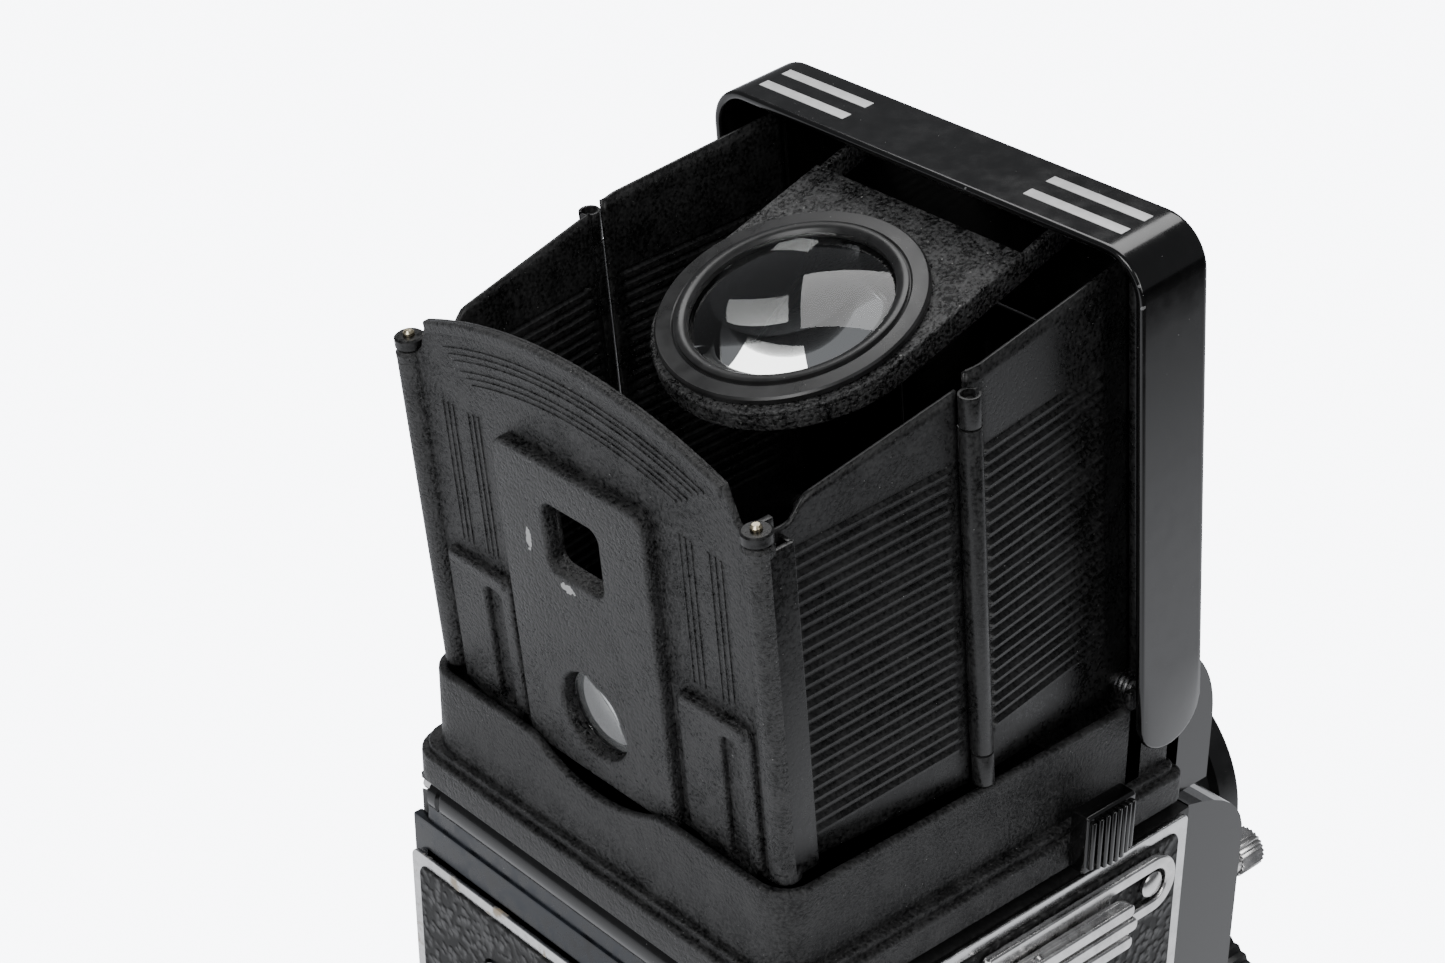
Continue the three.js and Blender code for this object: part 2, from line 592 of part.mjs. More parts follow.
// ---- hood, in its own leaning frame ---------------------------------------------------
function buildLid() {
  const low = -20;             // below the round ends of the side flanges
  const frontFoot = 2;         // lower edge of the front panel
  const overlap = 0.2;
  const hollowCorner = lidCorner - lidWall;
  const inner = lidHalf - lidWall;
  const shell = extrude(rounded([-lidHalf, lidHalf], [low, lidTop], 0, 0, lidCorner, lidCorner), 'y',
    [-lidDepth, 0], 6);
  const hollow = extrude(rounded([-inner, inner], [low - nick, lidTop - lidWall], 0, 0, hollowCorner,
    hollowCorner), 'y', [-lidDepth + lidWall, nick], 6);
  const end = lidDepth / 2;
  const round = end - 0.05;
  const keep = extrude(rounded([-lidDepth, 0], [-lidPinDrop - end, lidTop + nick], round, round, 0, 2), 'x',
    [-lidHalf - nick, lidHalf + nick], 8);
  const through = [-lidDepth - nick, -lidDepth + lidWall + nick];
  const front = block([-inner, inner], [-lidDepth - nick, -lidDepth + lidWall + 0.1], [low, frontFoot]);
  const flapHole = block([-flapHalf - gap, flapHalf + gap], through,
    [flapFoot - gap, flapFoot + flapHeight + gap]);
  const pinReach = inner + 0.7;
  const pin = rod('x', pinRadius + runGap, [-pinReach, pinReach], [-lidPinBack, -lidPinDrop], 5);
  const ears = Object.values(sides).map((side) => block(
    [side * (loupeHalf + gap), side * (loupeHalf + gap + loupeEar)],
    [-lidDepth + lidWall - overlap, loupePinAt + 2], [loupePinHeight - 2.2, lidTop - lidWall + overlap]));
  const loupeReachOut = loupeHalf + loupeEar + nick;
  const loupeHole = rod('x', loupePinRadius + runGap, [-loupeReachOut, loupeReachOut],
    [loupePinAt, loupePinHeight], 4);
  return cut(join(cut(shell.intersect(keep), hollow, front, flapHole), ...ears), pin, loupeHole);
}

function buildLidSpring(side) {
  const at = [-lidPinBack, -lidPinDrop];
  const outer = rimHalf - rimWall - gap;
  const sleeve = rod('x', springRadius, [side * outer, side * (outer - springLength)], at, 8);
  return cut(sleeve, rod('x', pinRadius + runGap, [-bodyHalf, bodyHalf], at, 5));
}

function buildFlap() {
  const corner = 2;
  const [inset, back] = [0.1, 0.2];
  return extrude(rounded([-flapHalf, flapHalf], [flapFoot, flapFoot + flapHeight], corner), 'y',
    [-lidDepth + inset, -lidDepth + lidWall - back], 3);
}

// A leaf is drawn along +Y from its hinge; its plate stands inside the line of its hinges.
const leafInside = (side) => [-side * kneeRadius, -side * (kneeRadius - leafPlate)];
const kneeBore = (y) => rod('z', kneePin + runGap, [0, leafRoot + nick], [0, y], 4);

// The front leaf holds the two ends of the knee pin, and the rear leaf holds its middle.
const knuckle = 4.5;
const leafOverlap = 0.2;
const barrelFoot = kneeFoot + knuckle + gap;
const barrelTop = leafKnee - 6;

function buildFrontLeaf(side) {
  const [rootFoot, barrelInset, endInset] = [1.4, 0.2, 2.2];
  const end = leafLength - kneeRadius - gap;
  const shape = outline([[0, rootFoot], [end, kneeFoot], [end, leafKnee], [0, leafRoot]]);
  const barrel = rod('z', kneeRadius, [rootFoot + barrelInset, leafRoot - barrelInset], [0, 0], 6);
  const ends = [[kneeFoot, kneeFoot + knuckle], [barrelTop + gap, leafKnee - endInset]];
  const knuckles = ends.map((range) => join(
    rod('z', kneeRadius, range, [0, leafLength], 6),
    block(leafInside(side), [end - leafOverlap, leafLength], range)));
  return cut(join(extrude(shape, 'x', leafInside(side)), barrel, ...knuckles), kneeBore(leafLength));
}

function buildRearLeaf(side) {
  const flange = 4;            // plain strip beside the post
  const [footDrop, topDrop, flangeRise] = [1.4, 0.2, 3.1];   // leaf against the post's two ends
  const start = kneeRadius + gap;
  const end = leafLength - postRadius - gap;
  const shape = outline([[start, kneeFoot], [end, postFoot - footDrop], [end, postTop - topDrop],
    [end - flange, postTop + flangeRise], [start, leafKnee - gap]]);
  const plate = extrude(shape, 'x', leafInside(side));
  const barrel = rod('z', kneeRadius, [barrelFoot, barrelTop], [0, 0], 6);
  const web = block(leafInside(side), [0, start + leafOverlap], [barrelFoot, barrelTop]);
  const ears = [[postFoot - gap - earPlate, postFoot - gap], [postTop + gap, postTop + gap + earPlate]]
    .map(([low, high]) => join(rod('z', postRadius, [low, high], [0, leafLength], 8),
      block(leafInside(side), [end - 3, leafLength], [low, high])));
  const pinHole = rod('z', postPin + runGap, [0, leafRoot], [0, leafLength], 4);
  return cut(join(plate, barrel, web, ...ears), kneeBore(0), pinHole);
}

function buildRearWall() {
  const shoulderInset = 0.8;
  const root = 0.2;            // raised parts start this far inside the plate
  const frame = { rise: 0.8, border: 2 };
  const [padFootCorner, padTopCorner, windowCorner] = [2, 5, 1.5];
  const half = postHalf;
  const inner = half - postRadius - gap - 0.1;
  const shoulder = inner - shoulderInset;
  const shape = new THREE.Shape();
  const sweep = Math.asin(shoulder / archRadius);
  shape.moveTo(-half, postFoot).lineTo(half, postFoot).lineTo(half, postTop);
  shape.lineTo(inner, postTop).lineTo(shoulder, archPeak - archRadius * (1 - Math.cos(sweep)));
  shape.absarc(0, archPeak - archRadius, archRadius, Math.PI / 2 - sweep, Math.PI / 2 + sweep);
  shape.lineTo(-inner, postTop).lineTo(-half, postTop).lineTo(-half, postFoot);
  const [back, face] = [postAt - wallPlate / 2, postAt + wallPlate / 2];
  const plate = extrude(shape, 'y', [back, face], 12);
  const posts = Object.values(sides).map((side) => rod('z', postRadius, [postFoot, postTop],
    [side * postHalf, postAt], 8));
  const pad = extrude(rounded([-padHalf, padHalf], [padFoot, padTop], padFootCorner, padFootCorner,
    padTopCorner, padTopCorner), 'y', [face - root, face + padRise], 4);
  const inside = [recessInner + frame.border, recessOuter - frame.border];
  const frames = Object.values(sides).map((side) => cut(
    block([side * recessInner, side * recessOuter], [face - root, face + frame.rise], [padFoot, recessTop]),
    block(inside.map((x) => side * x), [back, face + frame.rise + nick],
      [padFoot - nick, recessTop - frame.border])));
  const through = [back - nick, face + padRise + nick];
  const window = extrude(rounded([-windowHalf, windowHalf], [windowFoot, windowFoot + windowHeight],
    windowCorner), 'y', through, 3);
  const eye = rod('y', eyeLensRadius, through, [0, eyeLensHeight], 12);
  const pinHoles = Object.values(sides).map((side) => rod('z', postPin + runGap, [0, lidTop],
    [side * postHalf, postAt], 4));
  return cut(join(plate, ...posts, pad, ...frames), window, eye, ...pinHoles);
}

function buildEyeLens() {
  const [rise, fall, inset] = [0.4, 0.5, 0.4];   // curve of each face, and the front's set-back
  const [back, front] = [postAt - wallPlate / 2, postAt + wallPlate / 2 + padRise - inset];
  const radius = eyeLensRadius - gap;
  return turned('y', [[0, back], [radius, back + rise], [radius, front - fall], [0, front]],
    [0, eyeLensHeight], 20);
}

// ---- loupe, drawn square to the lid and then let down by its droop ----------------------
// A plate with a round end, `half` wide, that starts `back` behind the pin.
function loupePlan(half, back) {
  const plan = new THREE.Shape();
  plan.moveTo(-half, -back).lineTo(half, -back).lineTo(half, loupeReach);
  plan.absarc(0, loupeReach, half, 0, Math.PI).lineTo(-half, -back);
  return plan;
}

function buildLoupeArm() {
  const top = loupePlateRise;
  const plate = 1;
  const heel = 6.8;            // the plate starts this far in front of the pin
  const half = loupeHalf - loupeWall;
  const body = extrude(loupePlan(loupeHalf, loupeBack), 'z', [top - loupeDepth, top], 14);
  const hollow = extrude(loupePlan(half, loupeBack + nick), 'z', [top - loupeDepth - nick, top - plate], 14);
  const notch = block([-half, half], [-loupeBack - nick, heel], [-loupeDepth, loupeDepth]);
  const hole = rod('z', loupeGlassRadius + 0.8, [-loupeDepth, loupeDepth], [0, loupeReach], 14);
  const pin = rod('x', loupePinRadius + runGap, [-loupeHalf - nick, loupeHalf + nick], [0, 0], 4);
  return cut(body, hollow, notch, hole, pin);
}

function buildLoupeRing() {
  const step = { drop: 0.5, width: 0.9, lip: 0.8, foot: 0.7 };
  const base = loupePlateRise + gap;
  const inner = loupeGlassRadius + gap;
  const crown = base + loupeRingRise;
  return turned('z', [[inner, base], [loupeRingRadius, base], [loupeRingRadius, crown - step.drop],
    [loupeRingRadius - step.width, crown], [inner + step.lip, crown], [inner, base + step.foot]],
  [0, loupeReach], 32);
}

function buildLoupeLens() {
  const middle = loupePlateRise - 0.2;
  const bulge = 2.4;
  const edge = 0.6;            // half the glass's thickness at its edge
  const rings = 3;
  const arc = Array.from({ length: rings + 1 }, (_, i) => {
    const share = i / rings;
    return [loupeGlassRadius * share, edge + bulge * (1 - share * share)];
  });
  const up = arc.map(([radius, rise]) => [radius, middle + rise]).reverse();
  const down = arc.map(([radius, rise]) => [radius, middle - rise]);
  return turned('z', [...down, ...up], [0, loupeReach], 28);
}

// ---- front panel ---------------------------------------------------------------------
function buildPanel() {
  const brow = 3;
  const faceWall = 2.2;
  const releaseHole = 2 + gap;
  const profile = new THREE.Shape();
  profile.moveTo(panelBack, panelFoot).lineTo(panelFace, panelFoot);
  profile.lineTo(panelFace, panelTop - panelRound);
  profile.quadraticCurveTo(panelFace, panelTop - brow, panelBack, panelTop).lineTo(panelBack, panelFoot);
  const outer = extrude(profile, 'x', [-panelHalf, panelHalf], 8);
  const inner = panelHalf - panelWall;
  const room = block([-inner, inner], [panelFace + faceWall, 0],
    [panelFoot + 2.5, panelTop - panelRound - 0.6]);
  const through = [panelFace - nick, panelFace + faceWall + nick];
  const hole = (z) => rod('y', lensBore, through, [0, z], 14);
  return cut(outer, room, hole(takingAxis), hole(viewingAxis), rod('y', releaseHole, through, releaseAt, 6));
}

function buildLensPlate() {
  const corner = 15;
  const half = lensRadius + 2;
  const top = Math.min(viewingAxis + half, panelTop - panelRound - 1);
  const plate = rounded([-half, half], [takingAxis - half, top], corner);
  const front = plateBack - plateThick;
  const holes = [takingAxis, viewingAxis].map((z) => rod('y', lensBore,
    [front - nick, plateBack + nick], [0, z], 14));
  return cut(extrude(plate, 'y', [front, plateBack], 6), ...holes);
}

function buildLensBarrel(axis, reach) {
  const collar = { inset: 1.2, length: 5, slope: 1, ease: 0.5 };   // wider front end
  const funnel = 6;            // the mouth narrows to the glass over this length
  const back = plateBack - plateThick - gap;
  const front = panelFace - reach;
  const bore = glassRadius + gap;
  const neck = lensRadius - collar.inset;
  const profile = [[bore, back], [neck, back], [neck, front + collar.length],
    [lensRadius, front + collar.length - collar.slope], [lensRadius, front + collar.ease],
    [lensRadius - collar.ease, front], [lensRadius - lensWall, front], [bore, front + funnel]];
  return turned('y', profile, [0, axis], 32);
}

function buildGlass(axis, reach) {
  const recess = 6.3;          // behind the barrel's mouth
  const bulge = { peak: 1.8, middle: 1.2, edge: 0.6, share: 0.6 };
  const back = plateBack - plateThick - gap - nick;
  const front = panelFace - reach + recess;
  return turned('y', [[0, front - bulge.peak], [glassRadius * bulge.share, front - bulge.middle],
    [glassRadius, front + bulge.edge], [glassRadius, back], [0, back]], [0, axis], 20);
}

// A round grip with fine teeth round its edge.
function knurled(axis, radius, teeth, range, [a, b]) {
  const depth = 0.5;
  const points = Array.from({ length: 2 * teeth }, (_, i) => {
    const angle = (i / teeth) * Math.PI;
    const reach = i % 2 ? radius : radius - depth;
    return [a + reach * Math.cos(angle), b + reach * Math.sin(angle)];
  });
  return extrude(outline(points), axis, range);
}

function buildWheel(side) {
  const hub = { radius: 4, length: 2, rise: 1.2 };
  const back = plateBack - plateThick - gap;
  const at = [side * wheelSpread, midAxis];
  const disc = knurled('y', wheelRadius, 30, [back - wheelThick, back - hub.rise], at);
  return join(disc, rod('y', hub.radius, [back - hub.length, back], at, 8));
}

function buildRelease() {
  const head = { radius: 3.4, length: 4 };
  const stem = { radius: 2, root: 1 };
  const front = panelFace - 9;
  const button = rod('y', head.radius, [front, front + head.length], releaseAt, 8);
  const rear = [front + head.length - nick, panelFace + stem.root];
  return join(button, rod('y', stem.radius, rear, releaseAt, 6));
}

function buildSocket() {
  const at = [-panelHalf + 3.8, viewingAxis + 8.5];
  const [radius, bore, length, floor] = [3, 1.6, 6.8, 3];
  const back = panelFace - gap;
  const nut = rod('y', radius, [back - length, back], at, 10);
  return cut(nut, rod('y', bore, [back - length - nick, back - floor], at, 6));
}

function buildTimerLever() {
  const hub = { radius: 3.2, length: 3 };
  const arm = { half: 1.3, length: 13, thick: 1.8 };
  const [x, z] = timerAt;
  const front = plateBack - hub.length;
  return join(rod('y', hub.radius, [front, plateBack], timerAt, 8),
    block([x - arm.half, x + arm.half], [front, front + arm.thick], [z, z - arm.length]));
}

// ---- knobs and film winding --------------------------------------------------------------
function buildFocusKnob() {
  const skirt = 3.5;           // plain scale ring behind the grip
  const overlap = 0.2;
  const cap = { inset: 6, rise: 1.5 };
  const end = sideFace + focusReach;
  const grip = knurled('x', focusRadius, 48, [sideFace + skirt, end], focusAt);
  const dial = rod('x', focusRadius - 1.2, [sideFace, sideFace + skirt + overlap], focusAt, 16);
  const hub = rod('x', focusRadius - cap.inset, [end - overlap, end + cap.rise], focusAt, 14);
  const shaft = rod('x', shaftRadius, [bodyHalf - bodyWall - 3, sideFace + nick], focusAt, 6);
  return join(grip, dial, hub, shaft);
}

function buildCrank() {
  const disc = { edge: 2.6, thick: 3.6, slope: 1.5 };
  const arm = { half: 4, start: 3.4, end: 5.6 };
  const studEnd = 12;
  const base = -sideFace;
  const [y, z] = crankAt;
  const plate = turned('x', [[0, base], [crankDisc, base], [crankDisc, base - disc.edge],
    [crankDisc - disc.slope, base - disc.thick], [0, base - disc.thick]], crankAt, 28);
  const outer = rounded([y - arm.half, y + arm.half], [z - crankLength, z + arm.half], arm.half - 0.1);
  const lever = extrude(outer, 'x', [base - arm.start, base - arm.end], 5);
  const shaft = rod('x', shaftRadius, [-bodyHalf + bodyWall + 3, base - nick], crankAt, 6);
  const stud = rod('x', crankStud, [base - arm.end + nick / 2, base - studEnd], crankEnd, 5);
  return join(plate, lever, shaft, stud);
}

function buildCrankKnob() {
  const length = 8.5;
  const [foot, waist, tip] = [3.4, 3.9, 3.2];   // radii along the grip
  const slope = 1.2;
  const base = -sideFace - 5.6 - gap;
  const bore = crankStud + runGap;
  return turned('x', [[bore, base], [foot, base], [waist, base - slope], [waist, base - length + 1],
    [tip, base - length], [bore, base - length]], crankEnd, 16);
}

function buildSpoolKnob(at) {
  const [radius, length, root] = [7, 5, 0.2];
  const head = rod('x', radius, [sideFace, sideFace + length], at, 12);
  const shaft = rod('x', shaftRadius, [bodyHalf - bodyWall - root, sideFace + nick], at, 6);
  return join(head, shaft);
}

function buildLock(side) {
  const corner = 0.8;
  const base = side * (ledgeHalf + gap);
  const across = [base, base + side * lockReach].sort((a, b) => a - b);
  return extrude(rounded(across, [lockFoot, lockFoot + lockHeight], corner), 'y', lockAt, 3);
}

// ---- assembly --------------------------------------------------------------------------------
function assembleBody() {
  part('body_shell', buildBodyShell(), 'shell');
  part('mirror', buildMirror(), 'mirror');
  part('film_gate', buildFilmGate(), 'satin');
  part('light_cone', buildLightCone(), 'satin');
  part('tripod_bush', buildTripodBush(), 'nickel');
  part('front_housing', buildFrontHousing(), 'gloss');
  part('counter_window', buildWindow(), 'glass');
  for (const [name, side] of Object.entries(sides)) {
    part(`side_panel_${name}`, buildSidePanel(side), 'leather');
    part(`strap_lug_${name}`, buildLug(side), 'nickel');
    part(`strap_clip_${name}`, buildClip(side), 'nickel');
  }
  const screen = block([-screenWidth / 2, screenWidth / 2],
    [screenMiddle - screenLength / 2, screenMiddle + screenLength / 2],
    [bodyTop + gap, bodyTop + gap + screenThick]);
  part('focusing_screen', screen, 'screen');
  const length = bodyHalf - 0.2;
  part('door_pin', rod('x', doorPinRadius, [-length, length], hingeAt, 5), 'nickel');
}

function assembleDoor() {
  part('back_door', buildDoor(), 'gloss');
  part('back_panel', buildBackPanel(), 'leather');
  part('exposure_plate', buildExposurePlate(), 'nickel');
  part('pressure_plate', buildPressurePlate(), 'satin');
  part('latch_ring', buildLatchRing(), 'nickel');
}

function assembleHood() {
  part('hood_frame', buildHoodFrame(), 'crackle');
  part('lid_pin', buildLidPin(), 'steel');
  part('hood_lid', buildLid(), 'gloss', hood);
  part('finder_flap', buildFlap(), 'gloss', hood);
  for (const [name, side] of Object.entries(sides)) {
    part(`lid_spring_${name}`, buildLidSpring(side), 'steel', hood);
    const front = part(`front_leaf_${name}`, buildFrontLeaf(side), 'satin', hood);
    front.position.set(side * postHalf, lidLeafAt, 0);
    front.rotation.z = -side * leafSplay;
    const rear = part(`rear_leaf_${name}`, buildRearLeaf(side), 'satin', hood);
    rear.position.set(side * kneeHalf, kneeAt, 0);
    rear.rotation.z = side * leafSplay;
    const knee = rod('z', kneePin, [kneeFoot + 0.1, leafKnee - 2.3], [side * kneeHalf, kneeAt], 4);
    part(`knee_pin_${name}`, knee, 'steel', hood);
    const pin = rod('z', postPin, [postFoot - earPlate, postTop + earPlate + nick],
      [side * postHalf, postAt], 4);
    part(`post_pin_${name}`, pin, 'brass', hood);
  }
  part('rear_wall', buildRearWall(), 'crackle', hood);
  part('eye_lens', buildEyeLens(), 'glass', hood);
}

function assembleLoupe() {
  const loupe = new THREE.Group();
  loupe.position.set(0, loupePinAt, loupePinHeight);
  loupe.rotation.x = -THREE.MathUtils.degToRad(loupeDroop);
  hood.add(loupe);
  part('loupe_arm', buildLoupeArm(), 'crackle', loupe);
  part('loupe_ring', buildLoupeRing(), 'satin', loupe);
  part('loupe_lens', buildLoupeLens(), 'glass', loupe);
  const pin = rod('x', loupePinRadius, [-loupePinHalf, loupePinHalf], [loupePinAt, loupePinHeight], 4);
  part('loupe_pin', pin, 'steel', hood);
}

function assembleFront() {
  const reaches = { viewing: [viewingAxis, lensReach], taking: [takingAxis, lensReach - 2] };
  part('lens_panel', buildPanel(), 'gloss');
  part('lens_plate', buildLensPlate(), 'satin');
  for (const [name, [axis, reach]] of Object.entries(reaches)) {
    part(`${name}_barrel`, buildLensBarrel(axis, reach), 'satin');
    part(`${name}_glass`, buildGlass(axis, reach), 'glass');
  }
  part('aperture_wheel', buildWheel(sides.left), 'satin');
  part('speed_wheel', buildWheel(sides.right), 'satin');
  part('release_button', buildRelease(), 'nickel');
  part('flash_socket', buildSocket(), 'nickel');
  part('timer_lever', buildTimerLever(), 'nickel');
}

function assembleControls() {
  part('focus_knob', buildFocusKnob(), 'satin');
  part('film_crank', buildCrank(), 'nickel');
  part('crank_knob', buildCrankKnob(), 'satin');
  part('take_up_spool', buildSpool(takeUpAt), 'film');
  part('supply_spool', buildSpool(supplyAt), 'film');
  part('take_up_knob', buildSpoolKnob(takeUpAt), 'nickel');
  part('supply_knob', buildSpoolKnob(supplyAt), 'nickel');
  for (const [name, side] of Object.entries(sides)) part(`hood_lock_${name}`, buildLock(side), 'satin');
}

assembleBody();
assembleDoor();
assembleHood();
assembleLoupe();
assembleFront();
assembleControls();

const box = new THREE.Box3().setFromObject(camera);
const middle = box.getCenter(new THREE.Vector3());
camera.position.set(-middle.x, -middle.y, -box.min.z);

export default camera;
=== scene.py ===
# Twin lens reflex camera with its waist-level hood open: the finished surfaces over the CAD model.
# Metres, in the model's own frame: +Z up, the lenses look along -Y, +X is the focusing-knob side.
import json
import math

import bmesh
import bpy
from mathutils import Matrix, Vector


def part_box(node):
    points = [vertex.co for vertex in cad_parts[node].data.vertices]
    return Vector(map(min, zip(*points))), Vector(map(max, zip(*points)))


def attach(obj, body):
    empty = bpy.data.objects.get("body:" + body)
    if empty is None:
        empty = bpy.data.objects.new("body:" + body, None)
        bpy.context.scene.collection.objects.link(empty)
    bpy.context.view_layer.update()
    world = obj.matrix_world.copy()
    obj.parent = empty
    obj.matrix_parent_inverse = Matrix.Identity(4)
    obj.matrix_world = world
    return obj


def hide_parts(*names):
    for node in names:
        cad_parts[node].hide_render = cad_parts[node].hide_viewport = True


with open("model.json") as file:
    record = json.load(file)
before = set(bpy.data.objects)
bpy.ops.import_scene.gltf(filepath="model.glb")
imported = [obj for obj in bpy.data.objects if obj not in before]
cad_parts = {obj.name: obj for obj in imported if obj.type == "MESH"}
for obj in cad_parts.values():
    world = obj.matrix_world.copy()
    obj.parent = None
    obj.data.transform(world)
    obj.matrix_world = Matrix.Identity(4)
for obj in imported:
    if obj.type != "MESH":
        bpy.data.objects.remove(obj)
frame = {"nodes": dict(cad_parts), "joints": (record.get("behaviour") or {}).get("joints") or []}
nodes = frame["nodes"]
joints = {joint["name"]: joint for joint in frame["joints"]}
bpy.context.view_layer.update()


# ---- Studio ------------------------------------------------------------------------------------
# The camera stands behind the hood, above the crank side, and looks down into the open finder.
# A pale floor, an even white surround and three soft boxes light it without hard shadows.
def node_tree(owner):
    """The owner's node tree, emptied."""
    owner.use_nodes = True
    owner.node_tree.nodes.clear()
    return owner.node_tree


def add(tree, kind, inputs=None, **settings):
    """A shader node. Each input is given as a value or as the socket that feeds it."""
    node = tree.nodes.new("ShaderNode" + kind)
    for name, value in settings.items():
        setattr(node, name, value)
    feed(tree, node, inputs or {})
    return node


def feed(tree, node, inputs):
    for socket, value in inputs.items():
        if isinstance(value, bpy.types.NodeSocket):
            tree.links.new(value, node.inputs[socket])
        else:
            node.inputs[socket].default_value = value


def calc(tree, operation, *terms):
    """The result of a sum on values or sockets."""
    return add(tree, "Math", dict(enumerate(terms)), operation=operation).outputs[0]


def mix(tree, share, one, two):
    """A colour between two."""
    return add(tree, "Mix", {"Factor": share, "A": one, "B": two}, data_type="RGBA").outputs["Result"]


def soft_box(name, place, aim, width, height, power):
    light = bpy.data.lights.new(name, "AREA")
    light.shape, light.size, light.size_y, light.energy = "RECTANGLE", width, height, power
    lamp = bpy.data.objects.new(name, light)
    lamp.location = place
    lamp.rotation_euler = (Vector(aim) - Vector(place)).to_track_quat("-Z", "Y").to_euler()
    bpy.context.scene.collection.objects.link(lamp)


view_point = Vector((-0.22625, 0.23266, 0.3422))
view_target = Vector((0.01818, 0.01389, 0.156))
view_camera = bpy.data.objects.new("camera", bpy.data.cameras.new("camera"))
view_camera.data.sensor_width = 36
view_camera.data.lens = 72.01
view_camera.location = view_point
view_camera.rotation_euler = (view_target - view_point).to_track_quat("-Z", "Y").to_euler()
bpy.context.scene.collection.objects.link(view_camera)
bpy.context.scene.camera = view_camera

cool_white = (0.93, 0.95, 1.0, 1)
surround = bpy.data.worlds.new("surround")
bpy.context.scene.world = surround
tree = node_tree(surround)
background = add(tree, "Background", {"Color": cool_white, "Strength": 0.2})
add(tree, "OutputWorld", {"Surface": background.outputs[0]})

bm = bmesh.new()
bmesh.ops.create_grid(bm, x_segments=1, y_segments=1, size=6)
floor_mesh = bpy.data.meshes.new("floor")
bm.to_mesh(floor_mesh)
bm.free()
floor = bpy.data.objects.new("floor", floor_mesh)
bpy.context.scene.collection.objects.link(floor)
dark_from, bright_from = -0.34, -0.18     # the floor's light falls off beyond the crank side
glow_lit, glow_seen = 0.6, 8.2            # soft as a light, bright behind the camera body
floor_paper = bpy.data.materials.new("floor_paper")
tree = node_tree(floor_paper)
across = add(tree, "SeparateXYZ", {0: add(tree, "TexCoord").outputs["Object"]})
lit = add(tree, "MapRange", {"Value": across.outputs["X"], "From Min": dark_from, "From Max": bright_from},
          interpolation_type="SMOOTHSTEP").outputs[0]
seen = add(tree, "LightPath").outputs["Is Camera Ray"]
glow = add(tree, "Mix", {"Factor": seen, "A": calc(tree, "MULTIPLY", lit, glow_lit), "B": glow_seen})
paper = add(tree, "BsdfPrincipled", {
    "Base Color": mix(tree, lit, (0.06, 0.06, 0.062, 1), (0.7, 0.705, 0.72, 1)), "Roughness": 0.9,
    "Emission Color": cool_white, "Emission Strength": glow.outputs["Result"]})
add(tree, "OutputMaterial", {"Surface": paper.outputs[0]})
floor_mesh.materials.append(floor_paper)

soft_box("key", (-0.25, 0.75, 0.75), (0, 0, 0.14), 0.55, 0.4, 4.4)
soft_box("side", (-0.95, 0.05, 0.5), (0, 0, 0.14), 0.35, 0.7, 2.3)
soft_box("top", (0.25, -0.35, 0.95), (0, 0, 0.16), 0.7, 0.5, 4.8)


# ---- Body, gate, cone and mirror ---------------------------------------------------------------
# A die-cast box in satin black enamel holds the mirror, the light cone, the film gate and spools.
# These are seen only with the back open, so their CAD shapes are kept and given their finish.
FLOAT, COLOR, VECTOR = "NodeSocketFloat", "NodeSocketColor", "NodeSocketVector"


def grey(value, warmth=0.0):
    return (value * (1 + warmth), value, value * (1 - warmth), 1)


def group(name, inputs, outputs):
    """A node group: its tree, the sockets it is given, its end node and the place on the piece."""
    made = bpy.data.node_groups.new(name, "ShaderNodeTree")
    for socket, kind, value in inputs:
        made.interface.new_socket(name=socket, in_out="INPUT", socket_type=kind).default_value = value
    for socket, kind in outputs:
        made.interface.new_socket(name=socket, in_out="OUTPUT", socket_type=kind)
    given, end = made.nodes.new("NodeGroupInput").outputs, made.nodes.new("NodeGroupOutput")
    return made, given, end, add(made, "TexCoord").outputs["Object"]


# Grain and glints: a fine random relief, and a slow drift that makes tone and gloss uneven.
grain_and_glints, given, end, where = group(
    "grain_and_glints", [("Pitch", FLOAT, 0.0005), ("Patch", FLOAT, 0.012), ("Dark", COLOR, grey(0)),
              ("Light", COLOR, grey(0)), ("Gloss", FLOAT, 0.4), ("Spread", FLOAT, 0.1)],
    [("Color", COLOR), ("Roughness", FLOAT), ("Height", FLOAT)])
fine = add(grain_and_glints, "TexNoise", {"Vector": where, "Scale": calc(grain_and_glints, "DIVIDE", 1.0, given["Pitch"]),
                               "Detail": 3.0, "Roughness": 0.6}).outputs["Fac"]
slow = add(grain_and_glints, "TexNoise", {"Vector": where, "Scale": calc(grain_and_glints, "DIVIDE", 1.0, given["Patch"]),
                               "Detail": 2.0}).outputs["Fac"]
# The colour follows the fine relief as well, paler on its crowns: where Light is far above Dark, this paints
# glints.
share = add(grain_and_glints, "MapRange", {"Value": calc(grain_and_glints, "MULTIPLY_ADD", slow, 0.5, fine),
                                "From Min": 0.6, "From Max": 0.95}).outputs[0]
uneven = calc(grain_and_glints, "SUBTRACT", share, 0.5)
feed(grain_and_glints, end, {"Color": mix(grain_and_glints, share, given["Dark"], given["Light"]), "Height": fine,
                  "Roughness": calc(grain_and_glints, "MULTIPLY_ADD", uneven, given["Spread"], given["Gloss"])})

# Dust: sparse pale specks that have settled on a surface.
dust, given, end, where = group("dust", [("Color", COLOR, grey(0)), ("Amount", FLOAT, 0.06)],
                                [("Color", COLOR)])
speck = add(dust, "TexVoronoi", {"Vector": where, "Scale": 700.0}).outputs["Distance"]
drift = add(dust, "TexNoise", {"Vector": where, "Scale": 90.0, "Detail": 2.0}).outputs["Fac"]
settled = calc(dust, "LESS_THAN", speck, calc(dust, "MULTIPLY", drift, given["Amount"]))
feed(dust, end, {"Color": mix(dust, settled, given["Color"], (0.3, 0.3, 0.29, 1))})

